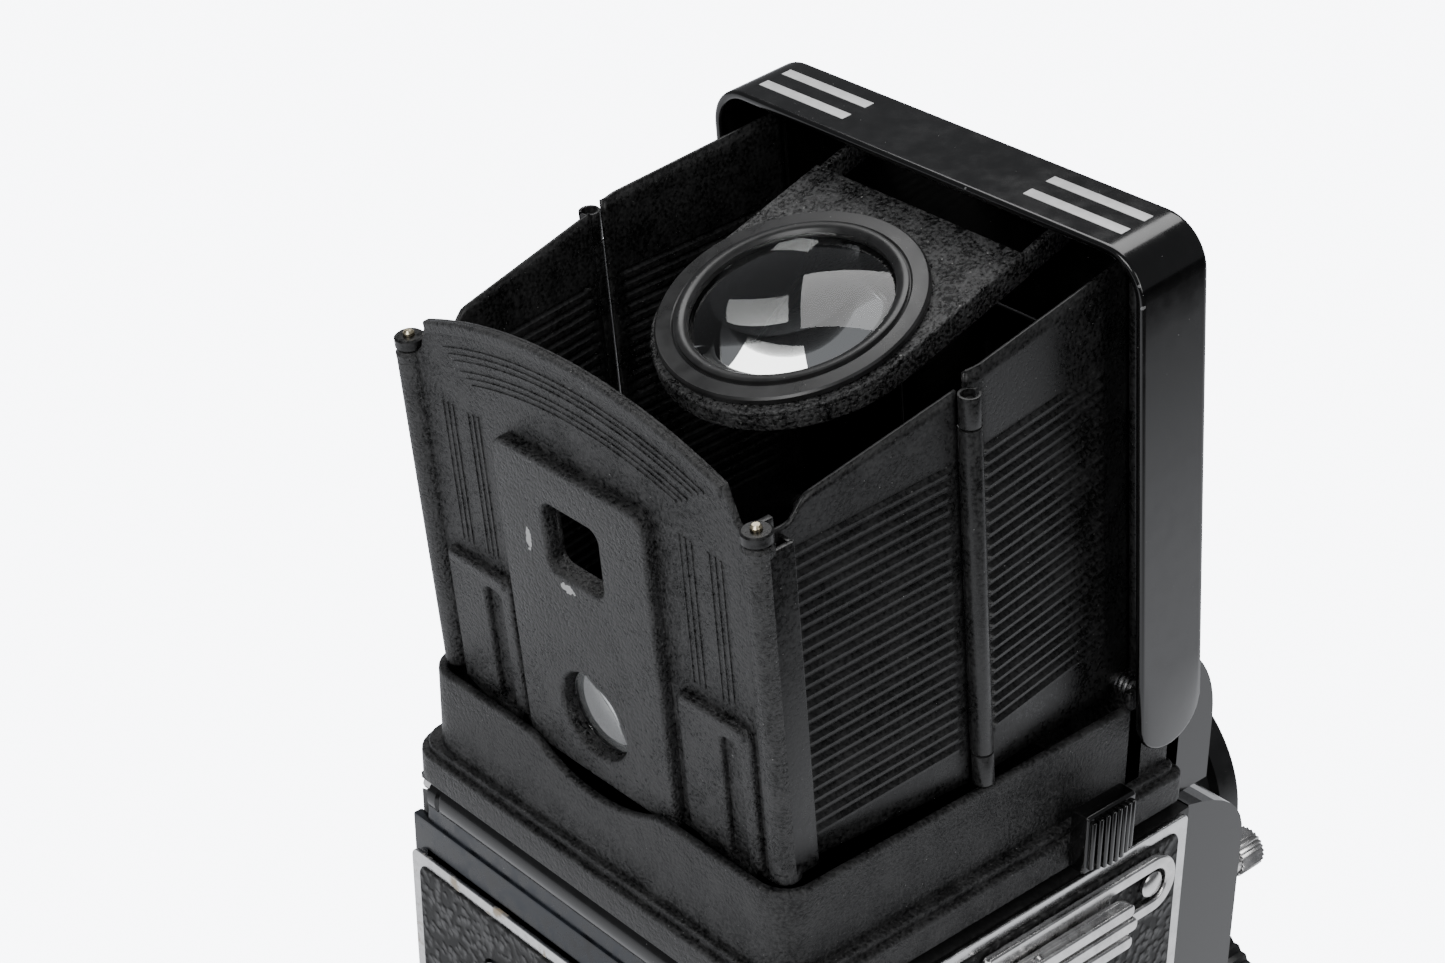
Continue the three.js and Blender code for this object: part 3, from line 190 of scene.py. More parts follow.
# Chip: a ragged spot round one point where the paint is knocked off.
chip, given, end, where = group(
    "chip", [("Place", VECTOR, (0, 0, 0)), ("Stretch", VECTOR, (1, 1, 1)), ("Radius", FLOAT, 0.0008)],
    [("Mask", FLOAT)])
ragged = add(chip, "TexNoise", {"Vector": where, "Scale": 1800.0, "Detail": 2.0}).outputs["Fac"]
away = add(chip, "VectorMath", {0: where, 1: given["Place"]}, operation="SUBTRACT").outputs[0]
scaled = add(chip, "VectorMath", {0: away, 1: given["Stretch"]}, operation="MULTIPLY").outputs[0]
distance = add(chip, "VectorMath", {0: scaled}, operation="LENGTH").outputs["Value"]
edge = calc(chip, "MULTIPLY", calc(chip, "MULTIPLY", ragged, given["Radius"]), 2.0)
feed(chip, end, {"Mask": calc(chip, "LESS_THAN", distance, edge)})


def shade(tree, inputs):
    """A material's surface and its output."""
    surface = add(tree, "BsdfPrincipled", inputs)
    add(tree, "OutputMaterial", {"Surface": surface.outputs[0]})


def finish_material(name, dark, light, gloss, spread=0.1, pitch=0.0005, patch=0.012, depth=0.0,
                    specks=0.0, metallic=0.0, coat=0.0, chips=(), bare=grey(0.55), specular=0.5):
    """Enamel, plating or bare metal: grain in its tone, gloss and relief, with dust and chips; a wide step
    from dark to light adds painted glints.
    """
    material = bpy.data.materials.new(name)
    tree = node_tree(material)
    body = add(tree, "Group", {"Pitch": pitch, "Patch": patch, "Dark": dark, "Light": light,
                               "Gloss": gloss, "Spread": spread}, node_tree=grain_and_glints).outputs
    color = body["Color"]
    if specks:
        color = add(tree, "Group", {"Amount": specks, "Color": color}, node_tree=dust).outputs["Color"]
    for place, stretch, radius in chips:
        spot = add(tree, "Group", {"Place": place, "Stretch": stretch, "Radius": radius}, node_tree=chip)
        color = mix(tree, spot.outputs["Mask"], color, bare)
    inputs = {"Base Color": color, "Roughness": body["Roughness"], "Metallic": metallic,
              "Coat Weight": coat, "Coat Roughness": 0.08, "Specular IOR Level": specular}
    if depth:
        inputs["Normal"] = add(tree, "Bump", {"Strength": 1.0, "Distance": depth,
                                              "Height": body["Height"]}).outputs[0]
    shade(tree, inputs)
    return material


def refinish(material, slot, *names):
    """Keeps CAD pieces as they are and gives them a finish."""
    for name in names:
        nodes[name].data.materials.clear()
        nodes[name].data.materials.append(material)


cast_black = finish_material("cast_black", grey(0.012), grey(0.022), 0.45, pitch=0.0006, depth=0.00002)
flock_black = finish_material("flock_black", grey(0.006), grey(0.014), 0.85, pitch=0.0004, depth=0.00003)
silvered = finish_material("silvered", grey(0.85), grey(0.9), 0.03, spread=0.02, metallic=1.0)
spool_plastic = finish_material("spool_plastic", grey(0.016), grey(0.024), 0.38, pitch=0.0009, depth=0.00001)
refinish(cast_black, "body_black", "body_shell")
refinish(flock_black, "satin_black", "film_gate", "light_cone", "pressure_plate")
refinish(silvered, "silvered", "mirror")
refinish(spool_plastic, "spool_black", "take_up_spool", "supply_spool")


# ---- Back door ---------------------------------------------------------------------------------
# A pressed steel door in gloss black enamel hangs from a barrel hinge across the top of the back.
# Its bright trim frame and pebbled leatherette are glued on, round a plate for exposure times.
MM = 0.001
ledge_rear = 1.9                     # the hood base's ledge stands this far behind its rim
base_low, base_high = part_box("hood_frame")
rear_foot = Vector(((base_low.x + base_high.x) / 2, base_high.y - ledge_rear * MM, 0))
upright = Matrix.Translation(rear_foot) @ Matrix.Scale(MM, 4)   # millimetres from the rim's rear face
AXES = {"x": Matrix(((0, 0, 1, 0), (1, 0, 0, 0), (0, 1, 0, 0), (0, 0, 0, 1))),
        "y": Matrix(((1, 0, 0, 0), (0, 0, 1, 0), (0, 1, 0, 0), (0, 0, 0, 1))),
        "z": Matrix.Identity(4)}


def corners(name, place=upright):
    """Lowest and highest corner of a CAD piece, in the millimetres of one placement."""
    back = place.inverted()
    points = [back @ vertex.co for vertex in nodes[name].data.vertices]
    return [Vector([pick(point[i] for point in points) for i in range(3)]) for pick in (min, max)]


def side_place(name):
    """A joint's Y and Z, in millimetres from the rim's rear face."""
    return [value / MM for value in (Vector(joints[name]["pos_m"]) - rear_foot)[1:]]


def rounded(a0, a1, b0, b1, radius, steps=6):
    """A rectangle's outline with round corners: one radius, or four from low-low round to low-high."""
    radii = [radius] * 4 if isinstance(radius, (int, float)) else radius
    ends = [(a0, b0, 1, 1, 180), (a1, b0, -1, 1, 270), (a1, b1, -1, -1, 0), (a0, b1, 1, -1, 90)]
    points = []
    for (a, b, da, db, turn), r in zip(ends, radii):
        for i in range(steps + 1 if r else 1):
            angle = math.radians(turn + 90 * i / steps)
            points.append((a + r * (da + math.cos(angle)), b + r * (db + math.sin(angle))))
    return points


def circle(a, b, radius, steps=48):
    return [(a + radius * math.cos(math.tau * i / steps), b + radius * math.sin(math.tau * i / steps))
            for i in range(steps)]


def plate(outline, low, high, edge=0.2, axis="z", holes=(), rounding=2):
    """A flat plate with eased edges, drawn in (Y, Z), (X, Z) or (X, Y) and thick along X, Y or Z."""
    curve = bpy.data.curves.new("outline", "CURVE")
    curve.dimensions, curve.fill_mode = "2D", "BOTH"
    curve.bevel_depth, curve.bevel_resolution, curve.offset = edge, rounding, -edge
    curve.extrude = abs(high - low) / 2 - edge
    for loop, turn in [(outline, 1), *[(hole, -1) for hole in holes]]:
        area = sum(p[0] * q[1] - q[0] * p[1] for p, q in zip(loop, loop[1:] + loop[:1]))
        points = loop if area * turn > 0 else loop[::-1]
        spline = curve.splines.new("POLY")
        spline.points.add(len(points) - 1)
        for knot, (a, b) in zip(spline.points, points):
            knot.co = (a, b, 0, 1)
        spline.use_cyclic_u = True
    drawn = bpy.data.objects.new("outline", curve)
    mesh = bpy.data.meshes.new_from_object(drawn)
    bm = bmesh.new()
    bm.from_mesh(mesh)
    bpy.data.objects.remove(drawn)
    bpy.data.curves.remove(curve)
    bpy.data.meshes.remove(mesh)
    bmesh.ops.remove_doubles(bm, verts=bm.verts, dist=0.001)
    bmesh.ops.translate(bm, verts=bm.verts, vec=(0, 0, (low + high) / 2))
    bmesh.ops.transform(bm, matrix=AXES[axis], verts=bm.verts)
    bmesh.ops.recalc_face_normals(bm, faces=bm.faces)
    return bm


def turned(profile, axis="z", at=(0, 0), steps=96):
    """Turns (radius, station) points about a line along one axis; a loop off the line makes a ring."""
    bm = bmesh.new()
    rim = [bm.verts.new((radius, 0, station)) for radius, station in profile]
    for one, two in zip(rim, rim[1:]):
        bm.edges.new((one, two))
    if profile[0][0] > 0 and profile[-1][0] > 0:
        bm.edges.new((rim[-1], rim[0]))
    bmesh.ops.spin(bm, geom=bm.verts[:] + bm.edges[:], axis=(0, 0, 1), cent=(0, 0, 0),
                   angle=math.tau, steps=steps, use_merge=True)
    bmesh.ops.remove_doubles(bm, verts=bm.verts, dist=0.0005)
    bmesh.ops.translate(bm, verts=bm.verts, vec=(at[0], at[1], 0))
    bmesh.ops.transform(bm, matrix=AXES[axis], verts=bm.verts)
    bmesh.ops.recalc_face_normals(bm, faces=bm.faces)
    return bm


def block(low, high, edge=0.15):
    """A box between two corners with eased edges."""
    bm = bmesh.new()
    bmesh.ops.create_cube(bm, size=1)
    size = [abs(b - a) for a, b in zip(low, high)]
    bmesh.ops.scale(bm, verts=bm.verts, vec=size)
    bmesh.ops.translate(bm, verts=bm.verts, vec=[(a + b) / 2 for a, b in zip(low, high)])
    bmesh.ops.bevel(bm, geom=bm.edges[:], offset=edge, offset_type="OFFSET", segments=2, profile=0.5,
                    affect="EDGES", material=-1)
    return bm


def together(*parts):
    """One bmesh from several."""
    whole = bmesh.new()
    for part in parts:
        mesh = bpy.data.meshes.new("part")
        part.to_mesh(mesh)
        whole.from_mesh(mesh)
        bpy.data.meshes.remove(mesh)
    return whole


def fit(name, bm, material, body, slot, *stands_for, place=upright, crease=35):
    """Places a piece, gives it its finish and fixes it to its CAD body."""
    bmesh.ops.transform(bm, matrix=place, verts=bm.verts)
    mesh = bpy.data.meshes.new(name)
    bm.to_mesh(mesh)
    bm.free()
    mesh.shade_smooth()
    mesh.set_sharp_from_angle(angle=math.radians(crease))
    mesh.materials.append(material)
    made = bpy.data.objects.new(name, mesh)
    bpy.context.scene.collection.objects.link(made)
    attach(made, body)
    if stands_for:
        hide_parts(*stands_for)
    return made


gloss_black = finish_material("gloss_black", grey(0.002), grey(0.004), 0.2, spread=0.08, pitch=0.004,
                              patch=0.02, specks=0.05, coat=0.25)
nickel = finish_material("nickel", grey(0.6, 0.01), grey(0.85, 0.01), 0.27, pitch=0.002,
                         patch=0.006, metallic=1.0)
worn_enamel = finish_material("worn_enamel", (0.005, 0.0055, 0.007, 1), (0.022, 0.027, 0.036, 1), 0.3,
                              spread=0.3, pitch=0.0025, patch=0.007, depth=0.000008, specks=0.05)
door_low, door_high = corners("back_door")
hinge_y, hinge_z = side_place("door_open")
barrel_radius, barrel_half = 2.9, 34.2
door_thick, door_foot = 1.5, 1.4
hinge_clear = barrel_radius + 1      # round the barrel
half_barrel = [(0, -barrel_half), (2.1, -barrel_half), (barrel_radius, 0.6 - barrel_half),
               (barrel_radius, 2.2 - barrel_half), (2.5, 2.5 - barrel_half), (2.5, 2.9 - barrel_half),
               (barrel_radius, 3.2 - barrel_half)]
barrel = turned(half_barrel + [(radius, -station) for radius, station in reversed(half_barrel)],
                "x", (hinge_y, hinge_z), 48)
door_face, door_inner = door_high.y, door_high.y - door_thick
shoulder = plate([(door_inner, hinge_z - 12), (door_face, hinge_z - 12), (door_face, hinge_z - 8.5),
                  (hinge_y + 2.3, hinge_z - 1), (hinge_y, hinge_z - 1.5), (door_inner, hinge_z - 3.2)],
                 -barrel_half, barrel_half, 0.15, "x")
skirt = block((door_low.x, door_inner, door_foot), (door_high.x, door_face, hinge_z - hinge_clear), 0.3)
tripod_y, latch_room = -31.5, 12
tray = plate(rounded(door_low.x, door_high.x, door_low.y, door_face, 0.8), door_foot,
             door_foot + door_thick, 0.3, holes=[circle(0, tripod_y, latch_room)])
feet = [turned([(0, 0), (2.7, 0), (3, 0.3), (3, 1.8), (0, 1.8)], at=(x, y), steps=32)
        for x in (-30, 30) for y in (-63, -6)]
fit("door_barrel", barrel, gloss_black, "back_door", "gloss_black")
fit("door_skin", together(shoulder, skirt, tray, *feet), worn_enamel, "back_door", "gloss_black", "back_door")
refinish(nickel, "nickel", "door_pin", "latch_ring", "tripod_bush")


def trim_material():
    """Plated trim that has gone white and yellow-brown in patches."""
    material = bpy.data.materials.new("tarnished_trim")
    tree = node_tree(material)
    where = add(tree, "TexCoord").outputs["Object"]
    blot = add(tree, "TexNoise", {"Vector": where, "Scale": 260.0, "Detail": 4.0,
                                  "Roughness": 0.7}).outputs["Fac"]
    share = add(tree, "MapRange", {"Value": blot, "From Min": 0.56, "From Max": 0.66}).outputs[0]
    plated = add(tree, "Group", {"Pitch": 0.001, "Patch": 0.008, "Dark": grey(0.62), "Light": grey(0.82),
                                 "Gloss": 0.3, "Spread": 0.15}, node_tree=grain_and_glints).outputs
    stain = add(tree, "TexNoise", {"Vector": where, "Scale": 420.0, "Detail": 2.0}).outputs["Fac"]
    bloom = mix(tree, stain, (0.62, 0.6, 0.55, 1), (0.36, 0.24, 0.1, 1))
    relief = add(tree, "Bump", {"Distance": 0.00004, "Height": blot}).outputs[0]
    shade(tree, {"Base Color": mix(tree, share, plated["Color"], bloom), "Normal": relief,
                 "Metallic": calc(tree, "SUBTRACT", 1.0, share),
                 "Roughness": calc(tree, "MULTIPLY_ADD", share, 0.35, plated["Roughness"])})
    return material


def leather_material():
    """Black leatherette: flat-topped pebbles in a net of fine creases, polished on their tops."""
    material = bpy.data.materials.new("leatherette")
    tree = node_tree(material)
    where = add(tree, "TexCoord").outputs["Object"]
    sway = add(tree, "TexNoise", {"Vector": where, "Scale": 500.0, "Detail": 2.0}).outputs["Color"]
    drift = add(tree, "VectorMath", {0: sway, 1: (0.0009, 0.0009, 0.0009), 2: where},
                operation="MULTIPLY_ADD").outputs[0]
    pebble = add(tree, "TexVoronoi", {"Vector": drift, "Scale": 850.0}, feature="SMOOTH_F1")
    crown = add(tree, "MapRange", {"Value": pebble.outputs["Distance"], "From Min": 0.15, "From Max": 0.6,
                                   "To Min": 1.0, "To Max": 0.0},
                interpolation_type="SMOOTHSTEP").outputs[0]
    relief = add(tree, "Bump", {"Distance": 0.00035, "Height": crown}).outputs[0]
    shade(tree, {"Base Color": mix(tree, crown, grey(0.006), grey(0.03)), "Normal": relief,
                 "Roughness": calc(tree, "MULTIPLY_ADD", crown, -0.22, 0.62), "Specular IOR Level": 0.45})
    return material


tarnished_trim, leatherette = trim_material(), leather_material()
table_white = finish_material("table_white", grey(0.6), grey(0.72), 0.35, pitch=0.003, patch=0.02)
trim_rise, trim_border, trim_corner = 0.6, 1.9, 1.4
chart_gap, chart_corner = 0.3, 2
panel_low, panel_high = corners("back_panel")
chart_low, chart_high = corners("exposure_plate")
chart_line = rounded(chart_low.x, chart_high.x, chart_low.z, chart_high.z, chart_corner)
chart_hole = rounded(chart_low.x - chart_gap, chart_high.x + chart_gap, chart_low.z - chart_gap,
                     chart_high.z + chart_gap, chart_corner)
trim_outline = rounded(panel_low.x, panel_high.x, panel_low.z, panel_high.z, trim_corner)
leather_outline = rounded(panel_low.x + trim_border, panel_high.x - trim_border,
                          panel_low.z + trim_border, panel_high.z - trim_border, trim_corner)
fit("back_trim", plate(trim_outline, panel_low.y, panel_low.y + trim_rise, 0.15, "y", [leather_outline]),
    tarnished_trim, "back_door", "leather_black", "back_panel")
fit("back_leather", plate(leather_outline, panel_low.y, panel_high.y, 0.25, "y", [chart_hole]),
    leatherette, "back_door", "leather_black")
fit("exposure_table", plate(chart_line, chart_low.y, chart_high.y, 0.12, "y"), table_white, "back_door",
    "nickel", "exposure_plate")


# ---- Side trims and leather --------------------------------------------------------------------
# Each side of the body carries a bright trim frame with leatherette inside it, glued down and
# cut round the hinge of the back and the shafts of the knobs and the crank.
bright_trim = finish_material("bright_trim", grey(0.6), grey(0.8), 0.24, spread=0.14, pitch=0.002,
                              patch=0.01, metallic=1.0)
shaft_room = 4


def panel_outline(low, high, inset, radius):
    """A side panel's outline, stepped in under the hinge at its upper rear corner."""
    edge = rounded(low.y + inset, high.y - inset, low.z + inset, high.z - inset, radius)
    cut_y, cut_z = hinge_y - hinge_clear - inset, hinge_z - hinge_clear - inset
    kept = [point for point in edge if not (point[0] > cut_y and point[1] > cut_z)]
    after = next(i for i, point in enumerate(kept) if point[1] > cut_z)
    step = [(high.y - inset, cut_z), (cut_y, cut_z), (cut_y, high.z - inset)]
    return kept[:after] + step + kept[after:]


for side, out, shafts in (("left", 1, ["focus_turn", "take_up_turn", "supply_turn"]),
                          ("right", -1, ["film_wind"])):
    low, high = corners(f"side_panel_{side}")
    skin, proud = sorted((low.x, high.x), key=abs)
    outer, inner = panel_outline(low, high, 0, 1), panel_outline(low, high, trim_border, 1.5)
    holes = [circle(*side_place(name), shaft_room) for name in shafts]
    fit(f"side_trim_{side}", plate(outer, skin, skin + out * trim_rise, 0.15, "x", [inner]), bright_trim,
        "camera_body", "leather_black", f"side_panel_{side}")
    fit(f"side_leather_{side}", plate(inner, skin, proud, 0.25, "x", holes), leatherette,
        "camera_body", "leather_black")


# ---- Strap lugs and end fittings ---------------------------------------------------------------
# A slotted nickel plate is riveted to the top of each side; the strap's ribbed steel end fitting
# slides over its stud and covers its rear half.
fin_count, fin_gap, bed_margin = 3, 0.3, 0.15


def stood(bm, axis, out, place):
    """Points an upright piece out along one axis and moves it into place."""
    bmesh.ops.transform(bm, matrix=AXES[axis] @ Matrix.Scale(out, 4, (0, 0, 1)), verts=bm.verts)
    bmesh.ops.translate(bm, verts=bm.verts, vec=place)
    bmesh.ops.recalc_face_normals(bm, faces=bm.faces)
    return bm


for side, out in (("left", 1), ("right", -1)):
    low, high = corners(f"strap_lug_{side}")
    near, far = sorted((low.x, high.x), key=abs)
    half = (high.z - low.z) / 2
    slot = rounded(low.y + 1.9, low.y + 13, low.z + 1.9, high.z - 1.9, [half - 2, 0.4, 0.4, half - 2], 10)
    lug = plate(rounded(low.y, high.y, low.z, high.z, [half - 0.1, 0.8, 0.8, half - 0.1], 14),
                near, far, 0.3, "x", [slot], rounding=3)
    stud = turned([(0, 0.2), (1.5, 0.2), (1.9, 0.5), (1.9, 0.9), (1.6, 1.15), (0, 1.3)], steps=40)
    stood(stud, "x", out, (near - 0.1 * out, low.y + 4.3, (low.z + high.z) / 2))
    fit(f"lug_{side}", together(lug, stud), nickel, "camera_body", "nickel", f"strap_lug_{side}")
    low, high = corners(f"strap_clip_{side}")
    near, far = sorted((low.x, high.x), key=abs)
    fin_pitch = (high.z - low.z - 2 * bed_margin) / fin_count
    fins = []
    for i in range(fin_count):        # the middle one reaches furthest forward
        foot = low.z + bed_margin + i * fin_pitch
        fin_line = rounded(low.y + (0.2 if i == 1 else 1.0), high.y, foot + fin_gap,
                           foot + fin_pitch - fin_gap, [0.8, 0.4, 0.4, 0.8])
        fins.append(plate(fin_line, near + 0.5 * out, far, 0.3, "x", rounding=3))
    bed = plate(rounded(low.y + 0.3, high.y, low.z, high.z, [3, 0.8, 0.8, 3], 8), near,
                near + 0.8 * out, 0.2, "x")
    rivet = turned([(0, 0), (1.5, 0), (1.35, 0.5), (0.8, 0.8), (0, 0.9)], steps=32)
    stood(rivet, "x", out, (far - 0.9 * out, high.y - 8, high.z - 1.6))
    fit(f"clip_{side}", together(bed, *fins, rivet), nickel, "camera_body", "nickel", f"strap_clip_{side}")


# ---- Hood base ---------------------------------------------------------------------------------
# A die-cast frame in fine crackle enamel: a ledge that clips over the body, and an upright rim
# round the well, dipped at the rear so that the eye can reach the lower lens.
def chipped(place, *spots):
    """Spots of bare metal, given as millimetres in one placement, a stretch and a radius."""
    return [(place @ Vector(spot), stretch, radius * MM) for spot, stretch, radius in spots]


def grow(bm, edges, step):
    """Draws a wall out of a line of edges: its new corners and its new line."""
    grown = bmesh.ops.extrude_edge_only(bm, edges=edges)["geom"]
    verts = [item for item in grown if isinstance(item, bmesh.types.BMVert)]
    bmesh.ops.translate(bm, verts=verts, vec=step)
    return verts, [item for item in grown if isinstance(item, bmesh.types.BMEdge)]


def face_out(bm, middle):
    """Turns an open sheet's faces away from a point."""
    bmesh.ops.recalc_face_normals(bm, faces=bm.faces)
    if sum(face.normal.dot(face.calc_center_median() - Vector(middle)) for face in bm.faces) < 0:
        bmesh.ops.reverse_faces(bm, faces=bm.faces)


def walled(made, thickness, edge):
    """Gives a sheet its wall, inwards, and eases the wall's edges."""
    wall = made.modifiers.new("wall", "SOLIDIFY")
    wall.thickness, wall.offset, wall.use_even_offset = thickness * MM, -1, True
    ease = made.modifiers.new("eased", "BEVEL")
    ease.width, ease.segments, ease.limit_method = edge * MM, 3, "ANGLE"
    ease.angle_limit = math.radians(50)


plain = (1, 1, 1)
# The crackle's pale flecks are partly painted glints: its light tone stands for the sparkle of the enamel's
# glossy bumps.
crackle = finish_material(
    "crackle", grey(0.003), grey(0.05), 0.45, spread=0.3, patch=0.004, depth=0.00032, specks=0.08,
    specular=0.4, chips=chipped(upright, ((-31.5, 1.9, 123.9), plain, 0.5), ((-36.2, -3, 123.8), plain, 0.4)))
frame_low, frame_high = corners("hood_frame")
rim_half, rim_depth, rim_wall, rim_top = 34.5, 65, 1.3, 136
ledge_top, ledge_foot = 124, 118.3
scoop_half, scoop_depth = 12, 3.2
scoop_radius = (scoop_half ** 2 + scoop_depth ** 2) / (2 * scoop_depth)


def rim_height(x, y):
    """Height of the rim's top edge: level, but for the dip at the rear."""
    if y < -rim_depth / 2 or abs(x) >= scoop_half + 2:
        return rim_top
    dip = math.sqrt(scoop_radius ** 2 - x * x) - (scoop_radius - scoop_depth)
    ease = max(0, (scoop_half + 2 - abs(x)) / 4)
    return rim_top - max(dip, 0.45 * min(ease, 1) ** 2 if abs(x) > scoop_half - 2 else 0)


bm = bmesh.new()
line = [bm.verts.new((x, y, ledge_top - 0.5))
        for x, y in rounded(-rim_half, rim_half, -rim_depth, 0, [2, 2, 5, 5], 8)]
for one, two in zip(line, line[1:] + line[:1]):
    bm.edges.new((one, two))
rear_edge = [edge for edge in bm.edges if all(abs(vert.co.y) < 1e-6 for vert in edge.verts)]
bmesh.ops.subdivide_edges(bm, edges=rear_edge, cuts=90)
verts, edges = grow(bm, bm.edges[:], (0, 0, 5))
verts, edges = grow(bm, edges, (0, 0, 5))
for vert in verts:
    vert.co.z = rim_height(vert.co.x, vert.co.y)
face_out(bm, (0, -rim_depth / 2, 130))
walled(fit("hood_rim", bm, crackle, "hood", "crackle_black"), rim_wall, 0.5)


def inset_line(inset, rear_inset, radii, steps=6):
    """The ledge's outline, drawn in from its edge."""
    return rounded(frame_low.x + inset, frame_high.x - inset, frame_low.y + min(inset, 1),
                   frame_high.y - rear_inset, radii, steps)


screen_low, screen_high = corners("focusing_screen")
screen_room = 0.8
screen_line = rounded(screen_low.x - screen_room, screen_high.x + screen_room,
                      screen_low.y - screen_room, screen_high.y + screen_room, 0.5)
foot_rear = frame_high.y - (hinge_y - hinge_clear)     # the foot ends short of the door's hinge
ledge = together(
    plate(inset_line(0, 0, [2, 2, 5, 5], 8), ledge_foot, ledge_top - 1.1, 0.5, holes=[screen_line],
          rounding=3),
    plate(inset_line(0.9, 0.9, [2, 2, 4.4, 4.4], 8), ledge_top - 1.5, ledge_top, 0.35,
          holes=[screen_line], rounding=3),
    plate(inset_line(1.7, foot_rear, [1, 1, 0.5, 0.5]), frame_low.z, ledge_foot + 0.4, 0.15,
          holes=[screen_line]))
fit("hood_ledge", ledge, crackle, "hood", "crackle_black", "hood_frame")
pin_low, pin_high = corners("lid_pin")
pin_y, pin_z = (pin_low.y + pin_high.y) / 2, (pin_low.z + pin_high.z) / 2
for side, out in (("left", 1), ("right", -1)):
    ear = plate(rounded(pin_y - 3.2, -rim_depth + 5, ledge_top - 0.5, pin_z + 3.2, [0.3, 0.3, 0.3, 3]),
                out * (rim_half - rim_wall), out * rim_half, 0.3, "x")
    fit(f"hood_ear_{side}", ear, crackle, "hood", "crackle_black")
screw = turned([(0, 0), (0.85, 0), (0.85, 0.35), (0.5, 0.6), (0, 0.65)], steps=24)
stood(screw, "y", 1, (4.4, frame_high.y - 0.62, 120.6))
fit("ledge_screw", screw, cast_black, "hood", "crackle_black")


# ---- Focusing screen ---------------------------------------------------------------------------
# A ground plastic screen lies in the body's throat under the hood, pale against the black well.
# Its CAD shape is kept.
ground = finish_material("ground_screen", grey(0.5), grey(0.62), 0.5, pitch=0.0002, depth=0.000005)
refinish(ground, "ground_glass", "focusing_screen")


# ---- Lid ---------------------------------------------------------------------------------------
# The hood's front is a pressed tray, gloss black, whose side flanges reach down past their pivot
# with round ends. Four pale bars are let into its top edge. Coil springs on the pin throw it open.
collapse = joints["hood_collapse"]
hood_up = Vector(collapse["axis"]).normalized()
hood_back = hood_up.cross(Vector((1, 0, 0))).normalized()
leaf_at = 6                          # the leaves are hinged this far in front of the lid's rear edge
lean = Matrix.Identity(4)
for column, direction in enumerate((Vector((1, 0, 0)), hood_back, hood_up)):
    for row in range(3):
        lean[row][column] = direction[row]
leaf_root = Vector(collapse["pos_m"])
lean_foot = Vector((rear_foot.x, leaf_root.y, leaf_root.z)) + hood_back * leaf_at * MM
leaning = Matrix.Translation(lean_foot) @ lean @ Matrix.Scale(MM, 4)   # millimetres along the open lid
lid_low, lid_high = corners("hood_lid", leaning)
lid_half, lid_top, lid_depth, lid_wall = lid_high.x, lid_high.z, -lid_low.y, 1.2
lid_corner, flange_end, flange_rows = 6, lid_depth / 2, 16
pivot_y, pivot_z = -5.8, -1.8        # the lid's pivot, from its rear edge and the rim's height
lid_paint = finish_material(
    "lid_paint", grey(0.0015), grey(0.003), 0.2, pitch=0.003, patch=0.02, specks=0.06, coat=0.25,
    chips=chipped(leaning, ((-36.9, -0.3, 59.9), plain, 0.3), ((-36.4, -0.2, 62.6), plain, 0.22),
                  ((-34.6, -0.2, 65.4), plain, 0.25), ((-9, -0.1, 66), plain, 0.14)), bare=grey(0.2))
corner = [point for point in rounded(-lid_half, lid_half, -30, lid_top, [0, 0, lid_corner, lid_corner], 10)
          if point[0] < 0 < point[1]]
line = [(-lid_half, h) for h in (pivot_z, 5, 15, 25, 35, 45, 55)]
line += sorted(corner, key=lambda point: (round(point[1], 4), point[0]))
line += [(-x, h) for x, h in reversed(line)]
bm = bmesh.new()
front = [bm.verts.new((x, -lid_depth, h)) for x, h in line]
flange = [bm.edges.new(pair) for pair in zip(front, front[1:])]
for _ in range(flange_rows):
    verts, flange = grow(bm, flange, (0, lid_depth / flange_rows, 0))
for vert in bm.verts:
    if abs(vert.co.z - pivot_z) < 0.01:   # the flanges' lower ends are half round
        vert.co.z = pivot_z - math.sqrt(max(flange_end ** 2 - (vert.co.y + flange_end) ** 2, 0))
face_out(bm, (0, -flange_end, 30))
walled(fit("lid_shell", bm, lid_paint, "hood", "gloss_black", "hood_lid", place=leaning), lid_wall, 0.5)
flap_low, flap_high = corners("finder_flap", leaning)
inside, panel_foot = 0.03, -2.8      # the front panel lies just inside the rim's skin
flap_gap, flap_swing, flap_corner = 0.3, 0.45, 2      # more room above, where the flap turns
panel_line = rounded(inside - lid_half, lid_half - inside, panel_foot, lid_top - inside,
                     [0.2, 0.2, lid_corner, lid_corner], 10)
flap_hole = rounded(flap_low.x - flap_gap, flap_high.x + flap_gap, flap_low.z - flap_gap,
                    flap_high.z + flap_swing, flap_corner)
fit("lid_front", plate(panel_line, -lid_depth + inside, lid_wall - lid_depth, 0.3, "y", [flap_hole]),
    lid_paint, "hood", "gloss_black", place=leaning)
inlay = finish_material("inlay", grey(0.8), grey(0.95), 0.4, pitch=0.002, patch=0.01, specks=0.03)
bar_inner, bar_outer, bar_half = 15.5, 31, 0.8
bars = [block((side * bar_inner, at - bar_half, lid_top - 0.1),
              (side * bar_outer, at + bar_half, lid_top + 0.06), 0.03) for side in (-1, 1) for at in (-4, -8)]
fit("lid_bars", together(*bars), inlay, "hood", "gloss_black", place=leaning)
steel = finish_material("spring_steel", grey(0.4), grey(0.7), 0.3, spread=0.2, pitch=0.001, patch=0.004,
                        metallic=1.0)
steel_dark = finish_material("dark_steel", grey(0.03), grey(0.08), 0.4, spread=0.2, pitch=0.001,
                             metallic=1.0)
coil_turns, coil_radius, wire_radius = 7, 1.75, 0.32
